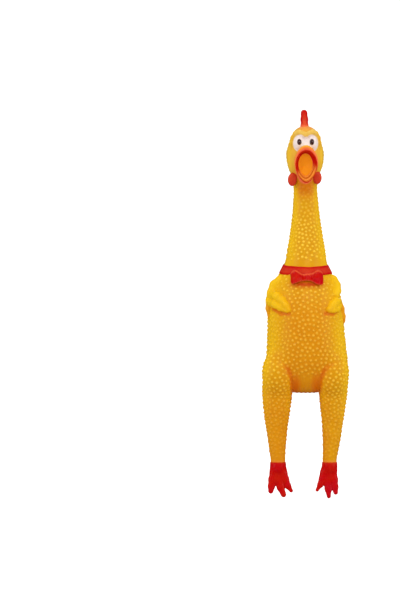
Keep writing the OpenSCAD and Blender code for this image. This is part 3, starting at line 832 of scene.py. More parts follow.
@once("node_groups", "Soft vinyl")
def vinyl_group(name):
    """Soft vinyl: faint clouding of the colour, uneven gloss and a fine orange-peel grain."""
    tree, source, result = group(
        name,
        [
            ("Place", "NodeSocketVector", None),
            ("Colour", "NodeSocketColor", (0.8, 0.5, 0.02, 1)),
            ("Clouding", "NodeSocketFloat", 0.12),
            ("Gloss", "NodeSocketFloat", 0.32),
            ("Gloss change", "NodeSocketFloat", 0.10),
        ],
        [("Colour", "NodeSocketColor"), ("Roughness", "NodeSocketFloat"), ("Height", "NodeSocketFloat")],
    )
    place = source.outputs["Place"]
    cloud = node(tree, "TexNoise", {"Vector": place, "Scale": 70.0, "Detail": 3.0, "Roughness": 0.55})
    smear = node(tree, "TexNoise", {"Vector": place, "Scale": 260.0, "Detail": 2.0})
    grain = node(tree, "TexNoise", {"Vector": place, "Scale": 1500.0, "Detail": 2.0, "Roughness": 0.6})
    wave = maths(tree, "SUBTRACT", cloud.outputs["Fac"], 0.5)
    value = maths(tree, "MULTIPLY_ADD", wave, source.outputs["Clouding"], 1.0)
    shade = node(tree, "HueSaturation", {"Value": value, "Color": source.outputs["Colour"]})
    tree.links.new(maths(tree, "MULTIPLY_ADD", wave, 0.014, 0.5), shade.inputs["Hue"])
    tree.links.new(shade.outputs["Color"], result.inputs["Colour"])
    uneven = maths(tree, "SUBTRACT", smear.outputs["Fac"], 0.5)
    change = maths(tree, "MULTIPLY", uneven, source.outputs["Gloss change"])
    tree.links.new(maths(tree, "ADD", source.outputs["Gloss"], change, clamp=True), result.inputs["Roughness"])
    tree.links.new(grain.outputs["Fac"], result.inputs["Height"])
    return tree


@once("node_groups", "Paint mist")
def mist_group(name):
    """Sprayed paint, and the painted shade, sheen and highlights laid the same way: a soft mask broken up at its edge
    into fine droplets.
    """
    tree, source, result = group(
        name,
        [
            ("Place", "NodeSocketVector", None),
            ("Under", "NodeSocketColor", (1, 1, 1, 1)),
            ("Paint", "NodeSocketColor", (1, 0, 0, 1)),
            ("Cover", "NodeSocketFloat", 0.0),
            ("Speckle", "NodeSocketFloat", 0.35),
        ],
        [("Colour", "NodeSocketColor")],
    )
    dots = node(tree, "TexNoise", {"Vector": source.outputs["Place"], "Scale": 1100.0, "Detail": 3.0})
    cover = source.outputs["Cover"]
    edge = maths(tree, "MULTIPLY", cover, maths(tree, "SUBTRACT", 1.0, cover))
    noise = maths(tree, "MULTIPLY", maths(tree, "SUBTRACT", dots.outputs["Fac"], 0.5), source.outputs["Speckle"])
    share = maths(tree, "MULTIPLY_ADD", maths(tree, "MULTIPLY", noise, 4.0), edge, cover, clamp=True)
    tree.links.new(mixed(tree, share, source.outputs["Under"], source.outputs["Paint"]), result.inputs["Colour"])
    return tree


def placed(tree, which, **inputs):
    """Places a shader node group in a material."""
    n = tree.nodes.new("ShaderNodeGroup")
    n.node_tree = which
    for key, value in inputs.items():
        socket = n.inputs[key.replace("_", " ").capitalize()]
        if isinstance(value, bpy.types.NodeSocket):
            tree.links.new(value, socket)
        else:
            socket.default_value = value
    return n


def mask(tree, name):
    return node(tree, "Attribute", attribute_name=name).outputs["Fac"]


def material(name, coat=0.25, coat_roughness=0.12, specular=0.5):
    """A material with one Principled shader. Returns it, its tree, the shader and the rest places."""
    m = bpy.data.materials.new(name)
    m.use_nodes = True
    tree = m.node_tree
    tree.nodes.clear()
    shader = node(tree, "BsdfPrincipled")
    shader.inputs["Coat Weight"].default_value = coat
    shader.inputs["Coat Roughness"].default_value = coat_roughness
    shader.inputs["Specular IOR Level"].default_value = specular
    output = node(tree, "OutputMaterial")
    tree.links.new(shader.outputs["BSDF"], output.inputs["Surface"])
    place = node(tree, "Attribute", attribute_name="rest").outputs["Vector"]
    return m, tree, shader, place


def finish_vinyl(tree, shader, place, colour, gloss=0.32, clouding=0.12, change=0.10, grain=0.06):
    """Feeds a colour through the soft vinyl group into the shader, with its grain as a bump."""
    vinyl = placed(tree, vinyl_group(), place=place, clouding=clouding, gloss=gloss, gloss_change=change)
    if isinstance(colour, bpy.types.NodeSocket):
        tree.links.new(colour, vinyl.inputs["Colour"])
    else:
        vinyl.inputs["Colour"].default_value = colour
    tree.links.new(vinyl.outputs["Colour"], shader.inputs["Base Color"])
    tree.links.new(vinyl.outputs["Roughness"], shader.inputs["Roughness"])
    bump = node(tree, "Bump", {"Strength": grain, "Distance": 0.0004, "Height": vinyl.outputs["Height"]})
    tree.links.new(bump.outputs["Normal"], shader.inputs["Normal"])


@once("materials", "Bumpy yellow vinyl")
def skin_material(name):
    paint = bpy.context.scene.chicken_paint
    m, tree, shader, place = material(name, coat=0.08, coat_roughness=0.12, specular=0.11)
    # Painted highlight on the top of each bump, in the lighter bump-top yellow.
    colour = mixed(tree, maths(tree, "MULTIPLY", mask(tree, "tip"), 0.95), tuple(paint.yellow), tuple(paint.tip))
    # Layers over the yellow: the lighter gold is painted sheen, the orange painted shade and the pale yellow a
    # painted highlight. The red, coral and white are sprayed paint.
    for key, cover, speckle in (
        ("gold_sheen", paint.gold, 0.1),
        ("orange_shade", paint.orange, 0.25),
        ("bow_mist", paint.red, 0.4),
        ("comb_mist", paint.coral, 0.3),
        ("coral", paint.coral, 0.2),
        ("pale", (0.84, 0.60, 0.17, 1), 0.1),
        ("white", paint.white, 0.15),
    ):
        mist = placed(tree, mist_group(), place=place, paint=tuple(cover), cover=mask(tree, key), speckle=speckle)
        tree.links.new(colour, mist.inputs["Under"])
        colour = mist.outputs["Colour"]
    finish_vinyl(tree, shader, place, colour, gloss=0.34, clouding=0.10)
    return m


@once("materials", "Red sprayed vinyl")
def red_material(name):
    paint = bpy.context.scene.chicken_paint
    m, tree, shader, place = material(name, coat=0.11, coat_roughness=0.10, specular=0.06)
    # Coral over the red: a painted highlight along the bow's edges and up the comb's front, a sprayed tint on the
    # other pieces.
    fade = placed(tree, mist_group(), place=place, under=tuple(paint.red), paint=tuple(paint.coral), speckle=0.35)
    tree.links.new(mask(tree, "fade"), fade.inputs["Cover"])
    finish_vinyl(tree, shader, place, fade.outputs["Colour"], gloss=0.30, clouding=0.14)
    return m


@once("materials", "Coral and red sprayed vinyl")
def beak_material(name):
    paint = bpy.context.scene.chicken_paint
    m, tree, shader, place = material(name, coat=0.14, coat_roughness=0.10, specular=0.06)
    warm = placed(tree, mist_group(), place=place, under=tuple(paint.coral), paint=tuple(paint.orange), speckle=0.3)
    tree.links.new(mask(tree, "fade"), warm.inputs["Cover"])
    deep = placed(tree, mist_group(), place=place, paint=tuple(paint.red), speckle=0.3)
    tree.links.new(warm.outputs["Colour"], deep.inputs["Under"])
    tree.links.new(mask(tree, "inside"), deep.inputs["Cover"])
    root = placed(tree, mist_group(), place=place, paint=tuple(paint.gold), speckle=0.3)
    tree.links.new(deep.outputs["Colour"], root.inputs["Under"])
    tree.links.new(mask(tree, "root"), root.inputs["Cover"])
    finish_vinyl(tree, shader, place, root.outputs["Colour"], gloss=0.28, clouding=0.12)
    return m


@once("materials", "Orange mouth vinyl")
def mouth_material(name):
    paint = bpy.context.scene.chicken_paint
    m, tree, shader, place = material(name, coat=0.04, coat_roughness=0.2, specular=0.08)
    lip = placed(tree, mist_group(), place=place, under=tuple(paint.mouth), paint=tuple(paint.coral), speckle=0.3)
    tree.links.new(mask(tree, "fade"), lip.inputs["Cover"])
    finish_vinyl(tree, shader, place, lip.outputs["Colour"], gloss=0.42, clouding=0.10)
    return m


@once("materials", "Glossy brown pupil paint")
def pupil_material(name):
    m, tree, shader, place = material(name, coat=1.0, coat_roughness=0.05)
    paint = tuple(bpy.context.scene.chicken_paint.pupil)
    finish_vinyl(tree, shader, place, paint, gloss=0.16, clouding=0.3, grain=0.02)
    return m


def hard_material(name, colour, roughness, metallic=0.0):
    """A finish for the small moulded and brass pieces of the whistle, which stay as the frame has them."""
    if name in bpy.data.materials:
        return bpy.data.materials[name]
    m, tree, shader, _ = material(name, coat=0.2 if not metallic else 0.0)
    place = node(tree, "TexCoord").outputs["Object"]
    vinyl = placed(tree, vinyl_group(), place=place, colour=colour, clouding=0.08, gloss=roughness, gloss_change=0.12)
    tree.links.new(vinyl.outputs["Colour"], shader.inputs["Base Color"])
    tree.links.new(vinyl.outputs["Roughness"], shader.inputs["Roughness"])
    shader.inputs["Metallic"].default_value = metallic
    bump = node(tree, "Bump", {"Strength": 0.05, "Distance": 0.0002, "Height": vinyl.outputs["Height"]})
    tree.links.new(bump.outputs["Normal"], shader.inputs["Normal"])
    return m


def dress(obj, finish, body=None, stands_for=()):
    """Gives a piece its material and body, and hides the frame nodes that it stands for."""
    obj.data.materials.clear()
    obj.data.materials.append(finish)
    if body:
        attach(obj, body)
    if stands_for:
        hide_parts(*stands_for)
    return obj


# ---------------------------------------------------------------- the skin

NECK_CUT, UPPER_CUT, HEAD_CUT = 63.0, 97.4, 128.8
HIP_CUT, SHIN_CUT, ANKLE_CUT = -65.6, -83.2, -115.0
# Two points on the torso's front-to-back line, in metres
BELLY_BLEND = Vector((0, -0.026, 0)), Vector((0, -0.0385, 0))


def across(joint, half):
    """The two ends, in metres, of a span centred on a joint: below it and above it."""
    middle, reach = pivot(joint), np.array([0, 0, half])
    return Vector((middle - reach) * MM), Vector((middle + reach) * MM)


def cut_skin(v, quads, normals, masks, wanted):
    """The part of the skin whose quads are wanted, as its own points, quads, normals and masks."""
    own = quads[wanted]
    used, inverse = np.unique(own.ravel(), return_inverse=True)
    return v[used], inverse.reshape(-1, 4), normals[used], {k: m[used] for k, m in masks.items()}


class CHICKEN_OT_skin(bpy.types.Operator):
    """Build the bumpy yellow skin from rump to crown and down both legs"""

    bl_idname = "chicken.skin"
    bl_label = "Yellow skin"

    def execute(self, context):
        size = context.scene.chicken_skin
        step = size.lattice * 1
        low, high = np.array(CAD_BOX[0]) / MM - 3, np.array(CAD_BOX[1]) / MM + 3
        low[2] = ANKLE_Z - 2.5
        high[2] = CROWN_Z + 4
        v, quads = surface(skin_field, low, high, step)
        normals = point_normals(v, quads)
        rng = np.random.default_rng(SEED)
        share = bump_share(v)
        gap = size.bump_gap * (1 - 0.16 * ease(58, 110, v[:, 2]) - 0.06 * ease(-30, -60, v[:, 2]))
        seeds = scattered(v[share > 0.12], 0.86 * gap[share > 0.12], rng)
        for _ in range(3):
            own, _ = nearest(v, seeds)
            count = np.bincount(own, minlength=len(seeds))
            seeds = np.stack([np.bincount(own, v[:, n], len(seeds)) / np.maximum(count, 1) for n in range(3)], 1)
            seeds = seeds[count > 0]
        own, far = nearest(v, seeds)
        vary = rng.uniform(0.85, 1.12, len(seeds))[own]
        dome = np.clip(1 - (far / (size.bump_radius * vary)) ** 2, 0, 1)
        ridge = 0.22 * np.cos(v[:, 0] * 1.45) * ease(-38, -50, v[:, 2]) * ease(13, 9, np.abs(v[:, 0]))
        masks = paint_masks(v, normals)
        # Painted highlight on the top of each bump, weaker on the lower legs.
        masks["tip"] = dome * share * (1 - 0.5 * ease(-46, -90, v[:, 2]))
        v = v + normals * (size.bump_height * dome * share + ridge)[:, None]
        normals = point_normals(v, quads)
        middle = v[quads].mean(1)
        x, y, z = middle.T
        finish = skin_material()
        trunk = (z > HIP_CUT) & (z <= NECK_CUT)
        lower_neck = (z > NECK_CUT) & (z <= UPPER_CUT)
        upper_neck = (z > UPPER_CUT) & (z <= HEAD_CUT)
        front_nodes = ("torso_skin", "belly_front", "left_wing", "right_wing")
        head_nodes = ("head_skin", "left_eye", "right_eye")
        bend, sway, nod = across("neck_bend", 13.2), across("neck_sway", 12.6), across("head_nod", 8.0)
        stretches = [
            ("torso_front_skin", trunk & (y <= 0), "torso", "belly", BELLY_BLEND, front_nodes),
            ("torso_back_skin", trunk & (y > 0), "torso", None, None, ()),
            ("neck_lower_skin_bumpy", lower_neck, "torso", "neck_lower", bend, ("neck_lower_skin",)),
            ("neck_upper_skin_bumpy", upper_neck, "neck_lower", "neck_upper", sway, ("neck_upper_skin",)),
            ("head_skin_bumpy", z > HEAD_CUT, "neck_upper", "head", nod, head_nodes),
        ]
        for side, word in ((1, "left"), (-1, "right")):
            leg = (z <= HIP_CUT) & (x * side > 0)
            shin = leg & (z <= SHIN_CUT) & (z > ANKLE_CUT)
            for part, wanted, above, joint, half, nodes in (
                ("hip", leg & (z > SHIN_CUT), "torso", "leg_spread", 7.8, (f"{word}_hip_skin",)),
                ("shin", shin, f"{word}_hip", "leg_swing", 10.6, (f"{word}_shin_skin",)),
                ("ankle", leg & (z <= ANKLE_CUT), f"{word}_shin", "foot_flex", 4.4, ()),
            ):
                below = f"{word}_foot" if part == "ankle" else f"{word}_{part}"
                bend = across(f"{word}_{joint}", half)[::-1]
                stretches.append((f"{word}_{part}_skin_bumpy", wanted, above, below, bend, nodes))
        for name, wanted, near, far, bend, nodes in stretches:
            piece = build(name, *cut_skin(v, quads, normals, masks, wanted))
            dress(piece, finish, None if bend else near, nodes)
            if bend:
                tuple(bend[0])
                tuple(bend[1])
                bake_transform(piece)
        return {"FINISHED"}


# ---------------------------------------------------------------- collar, bow, comb and wattles


def trunk_point(angle, z, out):
    """A point this far outside the trunk's surface, at an angle round it from the back (+Y)."""
    return np.array(
        [
            -math.sin(angle) * (TRUNK.at(z, 0) + out),
            math.cos(angle) * (TRUNK.at(z, 1) + out) + TRUNK.at(z, 2),
            z,
        ]
    )


class CHICKEN_OT_collar(bpy.types.Operator):
    """Build the collar band, which dips towards the front"""

    bl_idname = "chicken.collar"
    bl_label = "Collar"

    def execute(self, context):
        count = 144
        low, high = COLLAR_LOW[2] - 0.2, COLLAR_HIGH[2] + 0.4
        profile = [
            (-0.6, 0.0), (0.35, 0.0), (0.75, 0.05), (0.95, 0.14), (1.0, 0.3), (1.0, 0.5),
            (1.0, 0.7), (0.9, 0.86), (0.6, 0.95), (0.2, 1.0), (-0.6, 1.0),
        ]  # how far out, share of the height
        rings, fade = [], []
        for out, share in profile:
            ring = []
            for n in range(count):
                a = 2 * math.pi * n / count
                wobble = 0.12 * math.sin(5 * a + 1) + 0.08 * math.sin(11 * a)
                dip = COLLAR_TILT * math.cos(a) + wobble
                z = low + (high - low) * share + dip
                ring.append(trunk_point(a, z, out))
            rings.append(ring)
            fade.append(0.16 if 0.2 < share < 0.8 else 0.02)
        band = rings_piece("collar", rings, masks={"fade": np.array(fade)})
        dress(band, red_material(), "torso", ("collar_band",))
        return {"FINISHED"}


# The bow's outline from its right end to its left: across, top, bottom, how far it stands proud
BOW = Profile(
    [
        (-17.2, 57.6, 48.2, 2.2),
        (-15.2, 59.6, 46.8, 3.4),
        (-11.6, 61.0, 47.6, 4.3),
        (-8.2, 59.2, 48.9, 3.6),
        (-5.6, 57.6, 49.6, 2.5),
        (-3.8, 57.0, 49.8, 3.6),
        (0.4, 57.4, 50.2, 4.7),
        (4.6, 57.8, 49.4, 3.6),
        (6.2, 58.4, 48.6, 2.5),
        (8.6, 60.0, 47.2, 3.6),
        (11.4, 61.0, 46.2, 4.3),
        (14.8, 59.8, 45.8, 3.4),
        (17.4, 58.0, 47.0, 2.2),
    ]
)


def bow_field(p):
    """A folded bow that lies on the collar and the chest: two flared loops and a wide knot."""
    x, z = p[:, 0], p[:, 2]
    top, bottom, proud = BOW.at(x, 0), BOW.at(x, 1), BOW.at(x, 2)
    share = np.clip((z - bottom) / (top - bottom), -0.5, 1.5)
    fold = np.abs(x - 0.4)
    loop = ease(5.0, 7.5, fold)
    lean = (z - 53.6) / (4 + 0.45 * fold)
    rolled = 0.55 * ease(0.72, 0.92, share) + 0.35 * ease(0.2, 0.05, share)
    proud = proud + loop * (0.45 * np.cos(4.6 * lean + 0.5) + rolled)
    proud = proud + (1 - loop) * 0.28 * np.cos(1.9 * x + 0.35 * (z - 53.6))
    edge = np.maximum(z - top, bottom - z)
    edge = smooth_max(edge, np.abs(x - 0.2) - 16.6, 2.4)
    lift = oval(x - TRUNK.at(z, 3), p[:, 1] - TRUNK.at(z, 2), TRUNK.at(z, 0), TRUNK.at(z, 1)) * TRUNK.leaning(z)
    d = smooth_max(edge, (lift - proud) * 0.9, 2.0)
    return smooth_max(d, -lift - 0.8, 0.5)


def bow_masks(p):
    """Painted highlight: the bow is paler along its upper and lower edges."""
    x, z = p[:, 0], p[:, 2]
    return {"fade": 0.5 * ease(2.6, 0.6, BOW.at(x, 0) - z) + 0.4 * ease(1.6, 0.4, z - BOW.at(x, 1))}


class CHICKEN_OT_bow(bpy.types.Operator):
    """Build the bow tie: two flared loops and a wide knot"""

    bl_idname = "chicken.bow"
    bl_label = "Bow tie"

    def execute(self, context):
        step = 0.35
        bow = field_piece(
            "bow_tie",
            bow_field,
            (-19, -37, 43),
            (20, -17, 64),
            step,
            bow_masks,
        )
        dress(bow, red_material(), "torso", ("left_bow_loop", "right_bow_loop", "bow_knot"))
        return {"FINISHED"}


COMB_TIP = COMB_HIGH[2] - 1.6


def comb_field(p):
    """A curved finger with a round front ridge and flatter sides, spreading where it meets the crown."""
    p = p - np.array([COMB_X, 0, 0])
    base = CROWN_Z
    front = [(0, -1.5, base - 4, 4.2), (0, 3.0, base + 1, 3.8), (0, 5.6, base + 8, 3.6)]
    front.append((-0.3, 7.2, COMB_TIP - 3.2, 3.1))
    back = [(0, 9.0, base - 4, 3.8), (0, 9.8, base + 2, 3.3), (0, 10.4, base + 9, 3.1), (0, 9.4, COMB_TIP - 4.0, 2.8)]
    d = smooth_min(chain(p, front, 2), chain(p, back, 2), 2.6)
    foot = ellipsoid(p, (0, 4.4, base - 2.4), (5.4, 8.0, 2.4))
    return smooth_min(d, foot, 2.4)


def comb_masks(p):
    """Coral mist at the comb's foot, and a faint stripe up its front that is a painted highlight."""
    stripe = 0.34 * ease(3, 1, np.abs(p[:, 0] - COMB_X)) * ease(COMB_TIP - 1, CROWN_Z + 4, p[:, 2])
    return {"fade": np.maximum(ease(CROWN_Z + 5, CROWN_Z - 1, p[:, 2]), stripe)}


class CHICKEN_OT_comb(bpy.types.Operator):
    """Build the comb, a single upright finger that leans to the back"""

    bl_idname = "chicken.comb"
    bl_label = "Comb"

    def execute(self, context):
        step = 0.35
        comb = field_piece(
            "comb_fin",
            comb_field,
            (-9, -8, CROWN_Z - 9),
            (9, 17, COMB_TIP + 2),
            step,
            comb_masks,
        )
        dress(comb, red_material(), "head", ("comb",))
        return {"FINISHED"}


class CHICKEN_OT_wattles(bpy.types.Operator):
    """Build the two rounded wattles under the cheeks"""

    bl_idname = "chicken.wattles"
    bl_label = "Wattles"

    def execute(self, context):
        step = 0.35
        for side, word, x, z in ((1, "left", 11.4, 155.2), (-1, "right", 14.0, 153.2)):

            def field(p):
                q = p * np.array([side, 1, 1])
                d = ellipsoid(q, (x, -9.4, z), (4.6, 5.4, 6.4))
                d = smooth_min(d, ellipsoid(q, (x - 1.4, -8.4, z + 3.2), (3.6, 4.6, 4.0)), 2.5)
                return smooth_max(d, -q[:, 1] - 13.2, 1.6)

            low = (side * x - 8, -17, z - 9)
            wattle = field_piece(
                f"{word}_wattle_lobe",
                field,
                low,
                (side * x + 8, -1, z + 11),
                step,
                lambda v: {"fade": 0.32 * ease(-8, -12.5, v[:, 1])},
            )
            dress(wattle, red_material(), "head", (f"{word}_wattle",))
        return {"FINISHED"}


# ---------------------------------------------------------------- beak, mouth and pupils


BEAK_X, BEAK_Z = -0.9, MOUTH_Z - 1.6


def egg(angle, half_width, half_height, point=0.06):
    """An outline at an angle from its top: widest above the middle, a little pointed below."""
    x = half_width * math.sin(angle) * (1 + point * (1.6 * math.cos(angle) - math.cos(2 * angle)) / 1.2)
    x *= 1 - 0.14 * max(0.0, -math.cos(angle)) ** 2
    return x, half_height * math.cos(angle)


def beak_rings(steps, count):
    """Rings of the beak from the cheek over the rolled rim to the mouth's edge, with each point's paint. Its red
    share is red paint and, on the downward-facing inner wall, in the creases between the lips and on the beak's lower
    side, also painted shade.
    """
    tall = (BEAK_HIGH[2] - BEAK_LOW[2]) / 2
    wide = (BEAK_HIGH[0] - BEAK_LOW[0]) / 2
    face, rim, floor = RIM_Y + 25.0, RIM_Y + 0.6, RIM_Y + 6.4
    rings, paint = [], []
    for n in range(count):
        a = 2 * math.pi * n / count
        up = math.cos(a)
        ox, oz = egg(a, wide - 0.7, tall + 0.5)
        ix, iz = egg(a, wide - 1.7, tall - 2.9, 0.05)
        fx, fz = egg(a, wide - 5.1, tall - 7.2, 0.03)
        oz, iz, fz = oz + 0.6, iz - 1.8, fz + 0.4
        fx -= 0.7
        roof = max(0.0, up) ** 2.2
        low = float(ease(-0.25, -0.75, np.array(up)))
        if math.sin(a) > 0:
            low = float(ease(0.25, -0.6, np.array(up)))
        column, colours = [], []
        for u in steps:
            if u < 0:  # outer side, from the cheek (-1) to the rim (0)
                s = 1 + u
                reach = 1 - (1 - s) ** 1.7
                x, z = ox * (0.74 + 0.26 * reach), oz * (0.70 + 0.30 * reach)
                y = face + (rim + 0.9 - face) * s + roof * 2.2 * s
                z += roof * 4.0 * (1 - s) + 1.5 * (1 - s)
                column.append((BEAK_X + x, y, BEAK_Z + z))
                root = roof * (0.75 + 0.25 * float(ease(1.0, 0.62, np.array(s))))
                # The red share grows on the lower side: red paint that also stands for the shade where the beak meets
                # the neck.
                colours.append((0.25 * (1 - roof) + 0.45 * low, 0.15 + 0.5 * roof * (1 - s), root))
            elif u <= 1:  # over the rolled rim
                angle = math.pi * u
                x = (ox + ix) / 2 + (ox - ix) / 2 * math.cos(angle)
                z = (oz + iz) / 2 + (oz - iz) / 2 * math.cos(angle)
                roll = 0.9 * math.sin(angle)
                y = rim + 0.9 - roll + roof * (1 + math.cos(angle)) * 1.1
                column.append((BEAK_X + x, y, BEAK_Z + z))
                turned = (1 - low) * float(ease(0.45, 0.85, np.array(u))) + 0.85 * low
                root = roof * float(ease(0.5, 0.1, np.array(u)))
                colours.append((turned, (0.15 + 0.3 * roof**3) * (1 - u), 0.75 * root))
            else:  # inner wall, from the rim (1) to the mouth (2)
                t = u - 1
                x, z = ix + (fx - ix) * t, iz + (fz - iz) * t
                drop = (floor - rim - 0.9) * (1 - (1 - t) ** 1.8)
                ridge = 2.0 * math.sin(math.pi * min(1, max(0, (t - 0.10) / 0.46))) ** 0.8
                ridge += 1.5 * math.sin(math.pi * min(1, max(0, (t - 0.62) / 0.36))) ** 0.8
                y = rim + 0.9 + drop * (1 - 0.25 * low) - low * ridge
                column.append((BEAK_X + x, y, BEAK_Z + z))
                # Red on the upper inner wall, which faces down, and in the creases between the lips: red paint that
                # is also painted shade.
                groove = max(math.exp(-(((t - 0.04) / 0.07) ** 2)), 0.9 * math.exp(-(((t - 0.60) / 0.06) ** 2)))
                colours.append((max(1 - low, groove), low * (0.1 + 0.2 * t), 0.3 * low))
        rings.append(column)
        paint.append(colours)
    rings = np.array(rings).transpose(1, 0, 2)
    paint = np.array(paint).transpose(1, 0, 2)
    return rings, {"inside": paint[:, :, 0].ravel(), "fade": paint[:, :, 1].ravel(), "root": paint[:, :, 2].ravel()}


class CHICKEN_OT_beak(bpy.types.Operator):
    """Build the open beak: a coral funnel, a rolled rim and a red wall with two lips below"""

    bl_idname = "chicken.beak"
    bl_label = "Beak"

    def execute(self, context):
        steps = [-1, -0.8, -0.6, -0.4, -0.25, -0.12]
        steps += [n / 10 for n in range(11)] + [1 + n / 26 for n in range(1, 27)]
        rings, masks = beak_rings(steps, 160)
        beak = rings_piece("beak_funnel", rings, masks=masks)
        dress(beak, beak_material(), "head", ("beak",))
        return {"FINISHED"}


class CHICKEN_OT_mouth(bpy.types.Operator):
    """Build the orange sheet that closes the mouth inside the beak"""

    bl_idname = "chicken.mouth"
    bl_label = "Mouth"

    def execute(self, context):
        edge = beak_rings([1.93], 160)[0][0]
        middle = edge.mean(0) + np.array([0, 0.9, 0])
        rings, fade = [edge + np.array([0, 1.6, 0])], [0.6]
        for share, depth, lip in (
            (1.0, 0.1, 0.6),
            (0.985, -0.25, 0.45),
            (0.96, -0.3, 0.3),
            (0.93, -0.05, 0.1),
            (0.90, 0.35, 0.0),
            (0.8, 0.5, 0),
            (0.65, 0.45, 0),
            (0.5, 0.35, 0),
            (0.35, 0.25, 0),
            (0.2, 0.2, 0),
            (0.08, 0.2, 0),
        ):
            ring = middle + (edge - middle) * share
            ring[:, 1] = edge[:, 1] * share + middle[1] * (1 - share) + depth
            rings.append(ring)
            fade.append(lip)
        mouth = rings_piece("mouth_sheet", rings, closed_ends=(False, True), masks={"fade": np.array(fade)})
        dress(mouth, mouth_material(), "head", ("mouth_lining",))
        return {"FINISHED"}


class CHICKEN_OT_pupils(bpy.types.Operator):
    """Build the two raised glossy pupils"""

    bl_idname = "chicken.pupils"
    bl_label = "Pupils"

    def execute(self, context):
        middle = (PUPIL_LOW + PUPIL_HIGH) / 2
        half = (PUPIL_HIGH - PUPIL_LOW) / 2
        for side, word in ((1, "left"), (-1, "right")):
            centre = np.array([[side * 6.4 - 1.0, middle[1] - 1.0, EYE_Z + 1.2]])
            for _ in range(12):
                centre[0, 1] += skin_field(centre)[0]
            normal = gradient(skin_field, centre)[0]
            normal /= np.linalg.norm(normal)
            across_x = np.cross((0, 0, 1), normal)
            across_x /= np.linalg.norm(across_x)
            up = np.cross(normal, across_x)
            rings = []
            for share in np.linspace(0, 1, 11)[:-1]:
                ring = []
                radius = math.cos(share * math.pi / 2)
                for n in range(40):
                    a = 2 * math.pi * n / 40
                    flat = centre[0] + across_x * half[0] * 1.22 * radius * math.cos(a)
                    flat += up * half[2] * 1.16 * radius * math.sin(a)
                    spot = nearest_skin(skin_field, flat[None, :], 1.0, 2)[0]
                    ring.append(spot + normal * (0.75 * math.sin(share * math.pi / 2) - 0.12))
                rings.append(ring)
            pupil = rings_piece(f"{word}_pupil_dome", rings, closed_ends=(False, True))
            dress(pupil, pupil_material(), "head", (f"{word}_pupil",))
        return {"FINISHED"}


# ---------------------------------------------------------------- feet

# Toes from the ankle's middle: rows of [towards the other leg, front-back, height above the ankle, radius]
FEET = {
    -1: [
        [
            (-0.9, -0.2, -4, 5.9), (-2.4, -0.8, -11, 5.9), (-5.0, -1.6, -18.0, 4.6),
            (-6.8, -2.6, -24.5, 3.3), (-7.5, -4.0, -29.4, 2.7),
        ],
        [
            (0.4, -0.2, -4, 6.2), (0.8, -0.8, -12, 6.4), (0.9, -1.6, -19.5, 4.6),
            (2.6, -2.8, -26.0, 3.5), (5.5, -4.6, -33.0, 2.8),
        ],
        [
            (1.2, -0.2, -4, 5.9), (3.8, -0.8, -11, 5.4), (6.8, -1.6, -17.5, 4.1),
            (9.8, -2.6, -24, 3.0), (13.3, -3.6, -29.1, 1.9),
        ],
    ],
    1: [
        [
            (-0.8, -0.2, -4, 5.8), (-1.4, -0.8, -11, 5.6), (-3.5, -1.6, -18.0, 4.6),
            (-5.0, -2.8, -25.2, 3.4), (-5.9, -4.0, -30.8, 2.4),
        ],
        [
            (0.2, -0.2, -4, 6.0), (1.6, -0.8, -12, 6.0), (2.0, -1.6, -20, 4.5),
            (1.6, -3.0, -27.5, 3.3), (1.1, -4.6, -34.8, 2.1),
        ],
        [
            (0.9, -0.2, -4, 5.8), (4.2, -0.8, -11, 5.3), (6.8, -1.6, -17.0, 4.0),
            (9.3, -2.6, -22.4, 2.9), (13.0, -3.6, -28.4, 1.7),
        ],
    ],
}


def foot_field(p, side):
    """One red foot: a cuff over the ankle that widens to a flat palm with three toes."""
    leg = LEGS[side]
    middle = np.array([side * leg.at(ANKLE_Z, 0), -leg.at(ANKLE_Z, 2), ANKLE_Z])
    q = (p - middle) * np.array([-side, 1, 1])
    d = None
    for toe in FEET[side]:
        rod = chain(q, toe, 2, 0.64)
        d = rod if d is None else smooth_min(d, rod, 0.7)
    cuff = np.sqrt(q[:, 0] ** 2 + q[:, 1] ** 2) - leg.at(ANKLE_Z, 1) - 0.45 + 0.09 * np.maximum(0, -q[:, 2] - 4)
    d = smooth_min(d, smooth_max(cuff, -q[:, 2] - 11, 5), 2.6)
    for x in (-2.6, 2.4):
        web = taper(q, (x * 0.6, -8.6, -7), (x * 1.9, -7.4, -21), 0.3, 0.7)
        d = smooth_max(d, -web, 1.2)
    return smooth_max(d, q[:, 2] - 0.1, 0.9)


class CHICKEN_OT_feet(bpy.types.Operator):
    """Build the two red three-toed feet"""

    bl_idname = "chicken.feet"
    bl_label = "Feet"

    def execute(self, context):
        step = 0.45
        for side, word in ((1, "left"), (-1, "right")):
            x = side * LEGS[side].at(ANKLE_Z, 0)
            foot = field_piece(
                f"{word}_foot_glove",
                lambda p: foot_field(p, side),
                (x - 19, -22, FOOT_LOW[2] - 3),
                (x + 19, 10, ANKLE_Z + 3),
                step,
                lambda v: {"fade": 0.10 * ease(ANKLE_Z - 3, ANKLE_Z, v[:, 2])},
            )
            dress(foot, red_material(), f"{word}_foot", (f"{word}_foot",))
        return {"FINISHED"}


class CHICKEN_OT_whistle(bpy.types.Operator):
    """Finish the whistle's own pieces, which the frame already holds"""

    bl_idname = "chicken.whistle"
    bl_label = "Whistle"

    def execute(self, context):
        finishes = {
            "whistle_housing": hard_material("White moulded plastic", (0.86, 0.86, 0.83, 1), 0.35),
            "whistle_cap": hard_material("White moulded plastic", (0.86, 0.86, 0.83, 1), 0.35),
            "reed_board": hard_material("Blue moulded plastic", (0.04, 0.13, 0.55, 1), 0.3),
            "reed_clamp": hard_material("Blue moulded plastic", (0.04, 0.13, 0.55, 1), 0.3),
            "reed": hard_material("Rolled brass", (0.80, 0.58, 0.22, 1), 0.28, 1.0),
        }
        for name, finish in finishes.items():
            part = frame["nodes"][name]
            part.data.materials.clear()
            part.data.materials.append(finish)
        return {"FINISHED"}


